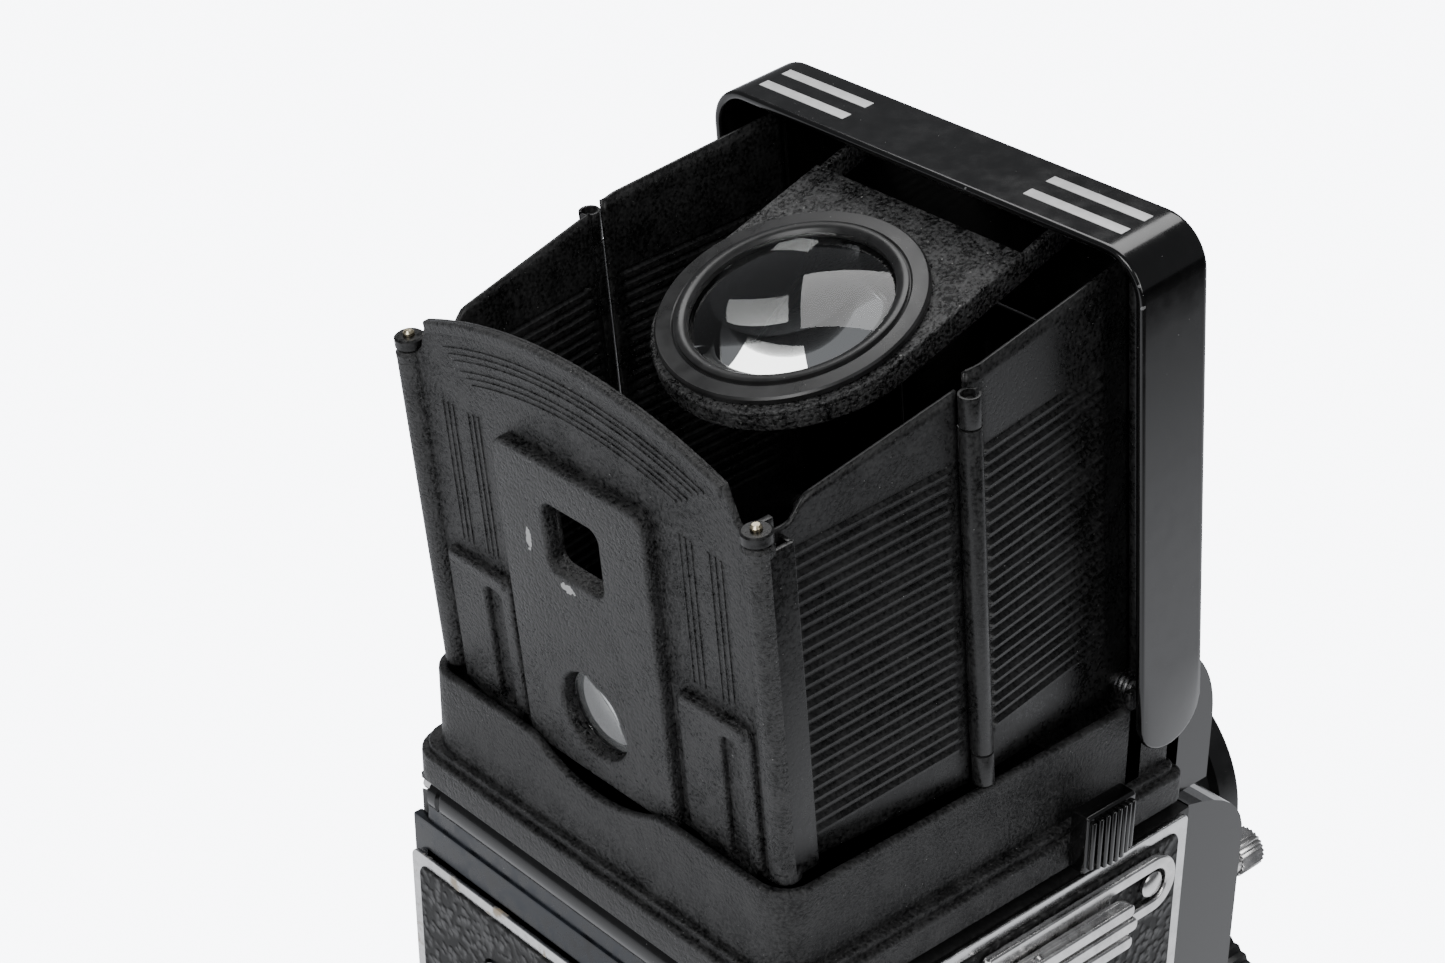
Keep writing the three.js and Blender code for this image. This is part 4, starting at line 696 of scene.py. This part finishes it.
for side in ("left", "right"):
    low, high = corners(f"lid_spring_{side}", leaning)
    bm = bmesh.new()
    bmesh.ops.create_circle(bm, cap_ends=False, radius=wire_radius, segments=10)
    bmesh.ops.rotate(bm, verts=bm.verts, matrix=Matrix.Rotation(math.pi / 2, 3, "Y"))
    bmesh.ops.rotate(bm, verts=bm.verts, matrix=Matrix.Rotation(math.pi / 2, 3, "Z"))
    bmesh.ops.translate(bm, verts=bm.verts, vec=(low.x + wire_radius, pivot_y, pivot_z + coil_radius))
    span = high.x - low.x - 2 * wire_radius
    steps = 24 * coil_turns
    bmesh.ops.spin(bm, geom=bm.verts[:] + bm.edges[:], axis=(1, 0, 0), cent=(0, pivot_y, pivot_z),
                   dvec=(span / steps, 0, 0), angle=math.tau * coil_turns, steps=steps)
    bmesh.ops.holes_fill(bm, edges=[edge for edge in bm.edges if edge.is_boundary], sides=12)
    bmesh.ops.recalc_face_normals(bm, faces=bm.faces)
    fit(f"lid_coil_{side}", bm, steel, "hood", "steel", f"lid_spring_{side}", place=leaning)
refinish(steel, "steel", "lid_pin", "loupe_pin")
flap_line = rounded(flap_low.x, flap_high.x, flap_low.z, flap_high.z, flap_corner)
fit("flap", plate(flap_line, flap_low.y, flap_high.y, 0.2, "y"), lid_paint, "finder_flap", "gloss_black",
    "finder_flap", place=leaning)


# ---- Side leaves -------------------------------------------------------------------------------
# Each side is two leaves of thin satin-black sheet, stiffened with pressed ribs. Their edges are
# rolled into the tubes of the middle hinge, and the front leaf is hinged to the lid.
# The leaves' pale mottling is partly painted light: its light tone stands for the lit crests and shaded
# grooves of the ribs.
leaf_black = finish_material("leaf_black", grey(0.003), grey(0.03), 0.36, spread=0.2, patch=0.006,
                             depth=0.00003, specks=0.07, specular=0.4)
leaf_plate, knee_radius, post_radius = 0.8, 1.4, 1.9
leaf_sheet = 0.4                     # the sheet itself; its ribs and rolls fill out the plate
rib_foot, rib_pitch, rib_count, rib_depth = 8.6, 1.66, 25, 0.6
rib_top = rib_foot + rib_pitch * rib_count


def along_lid(name):
    """How far a joint stands to the side and behind the lid, in millimetres."""
    offset = Vector(joints[name]["pos_m"]) - lean_foot
    return offset.x / MM, hood_back.dot(offset) / MM


knee_half, knee_at = along_lid("knee_left")
post_half, post_at = along_lid("wall_hinge")
leaf_length = math.hypot(knee_at + leaf_at, knee_half - post_half)
splay = math.atan2(knee_half - post_half, knee_at + leaf_at)
rim_slope = math.tan(math.radians(6))         # of the level rim, as seen from the leaning hood
clear = 0.15                                  # the leaves' feet stand this far above the rim
root_top, knee_top, post_top = lid_top - 4, lid_top - 5.9, lid_top - 12.6
post_foot, knee_foot = post_at * rim_slope + 2.1, knee_at * rim_slope + 0.4
near_knee = 0.75                              # the sheets end this close to the middle hinge's line
fold_at = 26.4                                # a flange is folded up behind the rear leaf's ribs
strip_top = post_top - 1.7
knee_tuck = 0.38


def between(low, value, high):
    return max(low, min(value, high))


def ribbed_sheet(edges, ribs, low_edge, high_edge, out, tuck=0.0):
    """A leaf's sheet between two stations: ribs are pressed out of it between the given stations."""
    across, per_rib, margin = 36, 8, 5
    heights = [rib_foot + rib_pitch * i / per_rib for i in range(rib_count * per_rib + 1)]
    rows = len(heights) + 2 * margin
    bm = bmesh.new()
    bmesh.ops.create_grid(bm, x_segments=across, y_segments=rows - 1, size=0.5)
    for vert in bm.verts:
        share, row = vert.co.x + 0.5, round((vert.co.y + 0.5) * (rows - 1))
        y = edges[0] + share * (edges[1] - edges[0])
        if row < margin:
            z = low_edge(y) + (rib_foot - low_edge(y)) * row / margin
        elif row < margin + len(heights):
            z = heights[row - margin]
        else:
            z = rib_top + (high_edge(y) - rib_top) * (row - margin - len(heights) + 1) / margin
        inside = between(0, min(y - ribs[0], ribs[1] - y) / 0.7, 1) if rib_foot < z < rib_top else 0
        wave = max(0, math.sin(math.tau * (z - rib_foot) / rib_pitch - 0.4))
        lift = rib_depth * inside * inside * (3 - 2 * inside) * wave
        bend = tuck * between(0, (y - edges[1] + 2.2) / 1.2, 1)
        vert.co = (out * (leaf_plate - knee_radius + lift - rib_depth - bend), y, z)
    return bm


def rolled_tube(y, low, high, radius, out):
    """A hinge tube rolled from sheet: an open ring with a slit along it."""
    turns, sheet, steps = 0.93, 0.38, 30
    angles = [math.pi * (1 - out / 2) + math.tau * turns * i / steps for i in range(steps + 1)]
    outer = [(radius * math.cos(angle), y + radius * math.sin(angle)) for angle in angles]
    inner = [((radius - sheet) * math.cos(angle), y + (radius - sheet) * math.sin(angle)) for angle in angles]
    return plate(outer + inner[::-1], low, high, 0.06, rounding=1)


def front_foot(y):
    """The front leaf's lower edge, cut up beside the lid's pivot."""
    return rim_slope * (y - leaf_at) + clear + 2 * between(0, (4.5 - y) / 2, 1)


def front_top(y):
    return root_top + (knee_top - root_top) * y / leaf_length


def rear_foot_edge(y):
    return rim_slope * (y + knee_at) + clear


def rear_top(y):
    """The rear leaf's upper edge: it falls gently, then steps down to the post."""
    drop = between(0, (y - 22.8) / 3.2, 1)
    return knee_top - 1 - 3.6 * min(y, 23) / 23 - 2.6 * (drop * drop * (3 - 2 * drop))


def fit_sheet(end, side, sheet, place):
    made = fit(f"{end}_sheet_{side}", sheet, leaf_black, f"{end}_leaf_{side}", "satin_black",
               f"{end}_leaf_{side}", place=place)
    wall = made.modifiers.new("sheet", "SOLIDIFY")
    wall.thickness, wall.offset = leaf_sheet * MM, 0


for side, out in (("left", 1), ("right", -1)):
    front_place = leaning @ Matrix.Translation((out * post_half, -leaf_at, 0))
    front_place @= Matrix.Rotation(-out * splay, 4, "Z")
    rear_place = leaning @ Matrix.Translation((out * knee_half, knee_at, 0))
    rear_place @= Matrix.Rotation(out * splay, 4, "Z")
    front_sheet = ribbed_sheet((0.4, leaf_length - near_knee), (5.2, leaf_length - 2.6), front_foot,
                               front_top, out, knee_tuck)
    fit_sheet("front", side, front_sheet, front_place)
    knuckles = together(rolled_tube(leaf_length, knee_foot, knee_foot + 4.5, knee_radius, out),
                        rolled_tube(leaf_length, knee_top - 5.7, knee_top - 1.6, knee_radius, out),
                        rolled_tube(0, 1.6, root_top - 0.2, knee_radius - 0.3, out))
    fit(f"front_knuckles_{side}", knuckles, leaf_black, f"front_leaf_{side}", "satin_black",
        place=front_place)

    end = leaf_length - post_radius - 0.3
    rear_sheet = ribbed_sheet((1.15, end), (2.2, 26.2), rear_foot_edge, rear_top, out)
    fit_sheet("rear", side, rear_sheet, rear_place)
    low_edge = rear_foot_edge(leaf_length)
    outer, inner = -out * knee_radius, -out * (knee_radius - leaf_plate)
    strip = plate(rounded(*sorted((0.1 * out, 0.85 * out)), fold_at, 31.3, 0.2), low_edge, strip_top, 0.15)
    web = block((outer, 0, knee_foot + 4.8), (inner, near_knee + 0.3, knee_top - 6), 0.1)
    fold = block((outer, fold_at, low_edge), (out * 0.4, 27.0, strip_top), 0.1)
    parts = [rolled_tube(0, knee_foot + 4.8, knee_top - 6, knee_radius, out), strip, web, fold]
    for foot, top in ((post_foot - 1.6, post_foot - 0.3), (post_top + 0.3, post_top + 1.6)):
        lug = [(0.75, foot), (post_radius, foot), (post_radius, top - 0.2), (post_radius - 0.25, top),
               (0.75, top)]
        parts.append(turned(lug, at=(0, leaf_length), steps=40))
        parts.append(block((outer, end - 0.6, foot), (inner, leaf_length - 0.4, top), 0.1))
    fit(f"rear_knuckles_{side}", together(*parts), leaf_black, f"rear_leaf_{side}", "satin_black",
        place=rear_place)
    refinish(steel_dark, "steel", f"knee_pin_{side}")


# ---- Rear wall and its lens --------------------------------------------------------------------
# A cast wall in crackle enamel closes the hood at the rear. Fine lines follow its arch and run down
# its sides; a raised pad holds the finder window and a magnifying lens; two frames stand by its foot.
# As on the rim, the wall's pale flecks are partly painted glints: the light tone stands for the sparkle of
# the enamel's glossy bumps.
wall_crackle = finish_material(
    "wall_crackle", grey(0.003), grey(0.058), 0.42, spread=0.35, patch=0.004, depth=0.00045, specks=0.08,
    specular=0.45, chips=chipped(leaning, ((8.4, 57.7, 36.9), (3.2, 1, 0.9), 1.5),
                                 ((1.8, 57.7, 32.6), (1.0, 1, 2.6), 1.5), ((-29.8, 56.8, 52.6), plain, 0.25)))
brass = finish_material("worn_brass", (0.5, 0.42, 0.27, 1), (0.72, 0.66, 0.5, 1), 0.3, spread=0.2,
                        pitch=0.001, patch=0.003, metallic=1.0)
arch_peak, arch_radius = lid_top - 2.2, 75
wall_thick, pad_half, pad_foot, pad_top, pad_rise = 1.0, 13.9, 4.2, lid_top - 16.6, 1.8
inner = post_half - post_radius - 0.4
arch_reach = inner - 2.2


def arch_line(drop, reach):
    """Points along a line that runs under the arch's edge."""
    radius = arch_radius - drop
    limit = math.asin(reach / radius)
    return [(radius * math.sin(limit * i / 20), arch_peak - arch_radius + radius * math.cos(limit * i / 20))
            for i in range(-20, 21)]


window = rounded(-5, 5, lid_top - 32, lid_top - 22.6, 1.5)
eye_height, eye_room = 14.2, 6
eye = circle(0, eye_height, eye_room)
foot_reach = post_half - 2.2         # between the posts the wall reaches down into the well
wall_line = [(-post_half, post_foot - 1.6), (-foot_reach, post_foot - 1.6), (-foot_reach, 4),
             (foot_reach, 4), (foot_reach, post_foot - 1.6), (post_half, post_foot - 1.6),
             (post_half, post_top - 0.3), (inner + 0.6, post_top + 0.1), (inner - 0.5, post_top + 1.2),
             *arch_line(0, arch_reach)[::-1], (0.5 - inner, post_top + 1.2),
             (-inner - 0.6, post_top + 0.1), (-post_half, post_top - 0.3)]
face = post_at + wall_thick / 2
lip = [*arch_line(0, arch_reach)[::-1], *arch_line(1.7, arch_reach - 0.3)]
pad = rounded(-pad_half, pad_half, pad_foot, pad_top, [1, 1, 2.6, 2.6], 10)
parts = [plate(wall_line, post_at - wall_thick / 2, face, 0.35, "y", [window, eye], rounding=3),
         plate(lip, post_at - wall_thick / 2, face + 0.45, 0.5, "y", rounding=4),
         plate(pad, face - 0.7, face + pad_rise, 0.65, "y", [window, eye], rounding=4)]
for out in (-1, 1):
    post_line = [(out * post_half + post_radius * math.cos(angle), post_at + post_radius * math.sin(angle))
                 for angle in [math.radians(90 + out * (turn - 90)) for turn in range(0, 226, 9)]]
    cap = [(0.95, post_top - 1.5), (post_radius, post_top - 1.5), (post_radius + 0.05, post_top - 0.6),
           (post_radius - 0.25, post_top - 0.15), (post_radius - 0.8, post_top), (0.95, post_top)]
    low, high = sorted((out * 15.6, out * 28.3))
    frame_line = rounded(low, high, 5.6, 26.4, [0.3, 0.3, 1.4, 1.4])
    groove = rounded(low + 2.2, low + 5.4, 3, 23.4, [0.1, 0.1, 1, 1])
    parts += [plate(post_line, post_foot - 1.6, post_top - 1.4, 0.25),
              turned(cap, at=(out * post_half, post_at), steps=40),
              plate(frame_line, face - 0.7, face + 0.9, 0.5, "y", [groove], rounding=3),
              plate(rounded(low + 0.6, high - 0.6, 24.4, 26.3, 0.8), face - 0.7, face + 1.3, 0.6, "y",
                    rounding=3)]
fine_half, fine_rise = 0.16, 0.14
for i in range(6):                    # two sets of three fine lines
    strip = arch_line(3.4 + i * 0.85 + (i > 2) * 0.5, 23.4 - i)
    lines = [[(x, z + fine_half) for x, z in strip] + [(x, z - fine_half) for x, z in strip[::-1]]]
    for out in (-1, 1):
        at = out * (25.2 - i - (i > 2) * 2.0)
        lines.append(rounded(at - fine_half, at + fine_half, 28.2, 48.5 + i * 0.1, 0.05, 1))
    parts += [plate(line, face - 0.1, face + fine_rise, 0.06, "y", rounding=1) for line in lines]
fit("rear_casting", together(*parts), wall_crackle, "rear_wall", "crackle_black", "rear_wall", place=leaning)
for side, out in (("left", 1), ("right", -1)):
    low, high = corners(f"post_pin_{side}", leaning)
    pin = turned([(0, low.z), (0.7, low.z), (0.7, high.z - 0.3), (0.45, high.z), (0, high.z)],
                 at=(out * post_half, post_at), steps=24)
    fit(f"wall_pin_{side}", pin, brass, "rear_wall", "brass", f"post_pin_{side}", place=leaning)


def glass_material():
    """Clear glass with a faint uneven haze from handling."""
    material = bpy.data.materials.new("clear_glass")
    tree = node_tree(material)
    where = add(tree, "TexCoord").outputs["Object"]
    smear = add(tree, "TexNoise", {"Vector": where, "Scale": 140.0, "Detail": 4.0}).outputs["Fac"]
    haze = add(tree, "MapRange", {"Value": smear, "From Min": 0.45, "From Max": 0.8, "To Min": 0.0,
                                  "To Max": 0.06}).outputs[0]
    shade(tree, {"Base Color": (0.96, 0.98, 0.97, 1), "Roughness": haze, "IOR": 1.5,
                 "Transmission Weight": 1.0, "Specular IOR Level": 0.6})
    return material


clear_glass = glass_material()
eye_low, eye_high = corners("eye_lens", leaning)
eye_radius, eye_bulge = 5.7, 0.9
eye_curve = [(eye_radius * i / 8, eye_high.y - eye_bulge * (i / 8) ** 2) for i in range(9)]
eye_back = eye_low.y + 0.2
fit("eye_glass", turned([(0, eye_back), (eye_radius, eye_back), *eye_curve[::-1]], "y", (0, eye_height), 64),
    clear_glass, "rear_wall", "clear_glass", "eye_lens", place=leaning)


# ---- Loupe -------------------------------------------------------------------------------------
# A pressed arm in coarse hammered black swings on a pin at the top of the lid. A stepped satin ring
# holds a thick lens that is curved on both faces.
# The arm's pale flecks are partly painted glints: the light tone stands for the sparkle of the hammered
# paint.
hammered_and_glints = finish_material("hammered_and_glints", grey(0.003), grey(0.12), 0.32, spread=0.35, patch=0.003,
                           depth=0.0005, specks=0.16)
ring_black = finish_material("ring_black", grey(0.014), grey(0.026), 0.32, pitch=0.003, patch=0.02,
                             specks=0.08)
loupe_pin = Vector(joints["loupe_fold"]["pos_m"])
droop = math.radians(13.5)
dropped = Matrix.Translation(loupe_pin) @ lean @ Matrix.Rotation(-droop, 4, "X") @ Matrix.Scale(MM, 4)
loupe_half, loupe_reach, plate_rise, arm_depth, arm_wall = 18, 28.8, 1.6, 4, 1.1
glass_radius, ring_radius = 13.4, 17.1


def arm_line(back, steps=40):
    """The arm's outline: straight sides, and a half round about the lens."""
    angles = [math.pi * i / steps for i in range(steps + 1)]
    turn = [(loupe_half * math.cos(angle), loupe_reach + loupe_half * math.sin(angle)) for angle in angles]
    return [(-loupe_half, -back), (loupe_half, -back), *turn]


skirt_line = arm_line(1.2)
skirt_top = plate_rise - 0.45
bm = bmesh.new()
wire = [bm.verts.new((x, y, skirt_top)) for x, y in skirt_line[1:] + skirt_line[:1]]
edges = [bm.edges.new(pair) for pair in zip(wire, wire[1:])]
verts, edges = grow(bm, edges, (0, 0, 0.45 - arm_depth))
for vert in verts:                    # the sides rise a little towards the round end
    vert.co.z += 0.9 * min(1, max(0, vert.co.y) / (loupe_reach + loupe_half))
face_out(bm, (0, loupe_reach / 2, 0))
walled(fit("loupe_sides", bm, hammered_and_glints, "loupe", "crackle_black", place=dropped), arm_wall, 0.4)
lens_hole = circle(0, loupe_reach, glass_radius + 0.8, 64)
fit("loupe_plate", plate(arm_line(-6.8), plate_rise - 1, plate_rise, 0.4, holes=[lens_hole], rounding=3),
    hammered_and_glints, "loupe", "crackle_black", "loupe_arm", place=dropped)
base, crown = plate_rise + 0.3, plate_rise + 1.8
band = 14.7                          # the ring's flat band ends here in a narrow groove
stepped = [(12.9, base), (ring_radius - 0.15, base), (ring_radius, base + 0.15),
           (ring_radius, crown - 0.75), (ring_radius - 0.25, crown - 0.5), (ring_radius - 0.4, crown - 0.5),
           (band + 0.25, crown - 0.42), (band, crown - 0.6), (band - 0.12, crown - 0.6),
           (band - 0.2, crown - 0.1), (band - 0.4, crown), (13.5, crown), (13.2, crown - 0.2),
           (12.9, crown - 0.55)]
fit("loupe_rim", turned(stepped, at=(0, loupe_reach), steps=128), ring_black, "loupe", "satin_black",
    "loupe_ring", place=dropped)
lens_middle, lens_edge, lens_bulge = plate_rise - 0.2, 0.6, 2.4
half_curve = [(glass_radius * i / 14, lens_edge + lens_bulge * (1 - (i / 14) ** 2)) for i in range(15)]
lens = [(r, lens_middle - rise) for r, rise in half_curve] + \
    [(r, lens_middle + rise) for r, rise in reversed(half_curve)]
fit("loupe_glass", turned(lens, at=(0, loupe_reach)), clear_glass, "loupe", "clear_glass", "loupe_lens",
    place=dropped)


# ---- Hood locks --------------------------------------------------------------------------------
# A ridged black slide on each side of the hood base; pressed down, it frees the whole hood.
ridges, ridge_width = 8, 0.75
for side, out in (("left", 1), ("right", -1)):
    low, high = corners(f"hood_lock_{side}")
    near, far = sorted((low.x, high.x), key=abs)
    parts = [plate(rounded(*sorted((near, far - 1.1 * out)), low.z, high.z, 0.5), low.y, high.y, 0.25, "y")]
    for i in range(ridges):           # the ridges stand upright, highest in the middle of the slide
        rear = low.y + 0.3 + (i + 0.15) * (high.y - low.y - 0.6) / ridges
        crown = out * 0.5 * (2 * i / (ridges - 1) - 1) ** 2
        ridge = rounded(*sorted((near + out, far - crown)), rear, rear + ridge_width, 0.3, 3)
        parts.append(plate(ridge, low.z + 0.3 + abs(crown), high.z - 0.3 - abs(crown), 0.15, rounding=1))
    fit(f"lock_{side}", together(*parts), gloss_black, f"hood_lock_{side}", "satin_black",
        f"hood_lock_{side}")


# ---- Front housing and lens panel --------------------------------------------------------------
# Gloss black pressings: a fixed housing above, and below it the panel that carries both lenses.
satin_black = finish_material("satin_black", grey(0.004), grey(0.008), 0.35, spread=0.12, pitch=0.003,
                              patch=0.02, specks=0.05)
refinish(gloss_black, "gloss_black", "front_housing", "lens_panel")
refinish(satin_black, "satin_black", "lens_plate")


def middle_of(name, across):
    """A CAD piece's lowest and highest corner, and its middle in a plane with Z."""
    low, high = corners(name)
    return low, high, ((low[across] + high[across]) / 2, (low.z + high.z) / 2)


front_bore, front_radius, steps_in = 12.3, 12, 6
for name in ("viewing", "taking"):
    low, high, at = middle_of(f"{name}_barrel", 0)
    radius, front, back, at = (high.x - low.x) / 2, low.y, high.y, (0, at[1])
    ridges = []
    for i in range(steps_in):         # a finely stepped mouth keeps stray light out of the glass
        ridges += [(front_bore + reach - i * 0.85, front + 0.6 + i * 0.9) for reach in (5.3, 4.6)]
    profile = [(front_bore, back), (radius - 1.2, back), (radius - 1.2, front + 5), (radius, front + 4.4),
               (radius, front + 0.5), (radius - 0.4, front), (front_bore + 5.6, front), *ridges]
    fit(f"{name}_mount", turned(profile, "y", at), satin_black, "lens_panel", "satin_black", f"{name}_barrel")
    bezel = [(radius - 1.9, front + 0.1), (radius - 0.5, front + 0.02), (radius - 0.5, front + 0.5),
             (radius - 1.9, front + 0.5)]
    fit(f"{name}_bezel", turned(bezel, "y", at), nickel, "lens_panel", "satin_black")
    low, high = corners(f"{name}_glass")
    curve = [(front_radius * i / 10, low.y + 1.8 * (i / 10) ** 2) for i in range(11)]
    fit(f"{name}_front_glass", turned([*curve, (front_radius, high.y), (0, high.y)], "y", at, 64),
        clear_glass, "lens_panel", "clear_glass", f"{name}_glass")


# ---- Wheels, release, timer and socket ---------------------------------------------------------
# Two toothed wheels between the lenses set aperture and speed; a plunger, a lever and a socket
# are screwed to the front panel.
def knurled(radius, depth, teeth, low, high, axis, at, ease=0.15):
    """A grip with fine rounded teeth round its edge."""
    points = []
    for i in range(teeth * 4):
        reach = radius - depth * (0.5 - 0.5 * math.cos(math.tau * i / 4))
        angle = math.tau * i / (teeth * 4)
        points.append((at[0] + reach * math.cos(angle), at[1] + reach * math.sin(angle)))
    return plate(points, low, high, ease, axis, rounding=1)


for name in ("aperture_wheel", "speed_wheel"):
    low, high, at = middle_of(name, 0)
    wheel = together(knurled((high.x - low.x) / 2, 0.45, 46, low.y, high.y - 1.2, "y", at),
                     turned([(0, high.y - 2), (4, high.y - 2), (4, high.y), (0, high.y)], "y", at, 40))
    fit(f"{name}_grip", wheel, satin_black, name, "satin_black", name)
low, high, at = middle_of("release_button", 0)
plunger = [(0, low.y), (2.6, low.y), (3.3, low.y + 0.5), (3.4, low.y + 1), (3.4, low.y + 3.6),
           (3, low.y + 4), (2, low.y + 4), (2, high.y), (0, high.y)]
fit("release_plunger", turned(plunger, "y", at, 48), nickel, "release_button", "nickel", "release_button")
low, high, at = middle_of("flash_socket", 0)
radius, front = (high.x - low.x) / 2, low.y + 0.4
sleeve = [(1.6, front), (radius - 0.5, front), (radius - 0.5, high.y), (1.6, high.y)]
fit("socket_nut", together(knurled(radius, 0.3, 26, low.y, high.y - 2.2, "y", at, 0.2),
                           turned(sleeve, "y", at, 40)), nickel, "lens_panel", "nickel", "flash_socket")
low, high, at = middle_of("timer_lever", 0)
hub = at[0], high.z - 3.2
angles = [math.pi * i / 12 for i in range(13)]
lever = [(hub[0] + 1.3 * math.cos(angle), hub[1] + 1.3 * math.sin(angle)) for angle in angles]
lever += [(hub[0] - 1.6 * math.cos(angle), low.z + 1.2 - 1.2 * math.sin(angle)) for angle in angles]
boss = turned([(0, low.y), (2.6, low.y), (3.2, low.y + 0.5), (3.2, high.y), (0, high.y)], "y", hub, 40)
fit("timer_arm", together(plate(lever, low.y, low.y + 1.7, 0.3, "y"), boss), nickel, "timer_lever",
    "nickel", "timer_lever")


# ---- Knobs, crank and counter window -----------------------------------------------------------
# The focusing knob and the two spool knobs stand on one side, the film crank with its folding knob on
# the other. Grips are knurled, hubs are spun nickel.
face = 38.5                          # where the knobs begin, outside the leather
low, high, at = middle_of("focus_knob", 1)
skirt = [(0, face - 5), (3, face - 5), (3, face), (17.3, face), (17.3, face + 3.6), (0, face + 3.6)]
knob = together(knurled((high.z - low.z) / 2, 0.5, 72, face + 3.5, high.x - 1.5, "x", at, 0.3),
                turned(skirt, "x", at))
fit("focus_grip", knob, satin_black, "focus_knob", "satin_black", "focus_knob")
hub = [(0, high.x - 1.7), (12.5, high.x - 1.7), (12.5, high.x - 0.5), (12, high.x), (4, high.x),
       (3.6, high.x - 0.3), (0, high.x - 0.3)]
fit("focus_hub", turned(hub, "x", at), nickel, "focus_knob", "satin_black")
for name in ("take_up_knob", "supply_knob"):
    low, high, at = middle_of(name, 1)
    shaft = [(0, low.x), (3, low.x), (3, high.x - 0.6), (5.2, high.x - 0.6), (4.8, high.x), (0, high.x)]
    grip = together(knurled((high.z - low.z) / 2, 0.4, 40, face, high.x - 0.4, "x", at, 0.3),
                    turned(shaft, "x", at, 64))
    fit(f"{name}_grip", grip, nickel, name, "nickel", name)
low, high = corners("film_crank")
at = side_place("film_wind")
base = -face
disc = [(0, base + 5), (3, base + 5), (3, base), (12.6, base), (13, base - 0.4), (13, base - 2.4),
        (11.6, base - 3.6), (5, base - 3.6), (4.6, base - 4.2), (0, base - 4.4)]
arm = plate(rounded(at[0] - 4, at[0] + 4, low.z, at[1] + 4, 3.9, 12), base - 3.4, base - 5.6, 0.5, "x",
            rounding=3)
stud_at = (at[0], low.z + 4)
stud = [(0, low.x), (0.9, low.x), (1.2, low.x + 0.3), (1.2, base - 5), (0, base - 5)]
fit("crank_arm", together(turned(disc, "x", at), arm, turned(stud, "x", stud_at, 32)), nickel,
    "film_crank", "nickel", "film_crank")
low, high = corners("crank_knob")
grip = [(1.5, high.x), (3.4, high.x), (3.9, high.x - 1.2), (3.5, (low.x + high.x) / 2), (3.9, low.x + 1.2),
        (3.2, low.x), (1.5, low.x)]
fit("crank_grip", turned(grip, "x", stud_at, 64), satin_black, "crank_knob", "satin_black", "crank_knob")
refinish(clear_glass, "clear_glass", "counter_window")
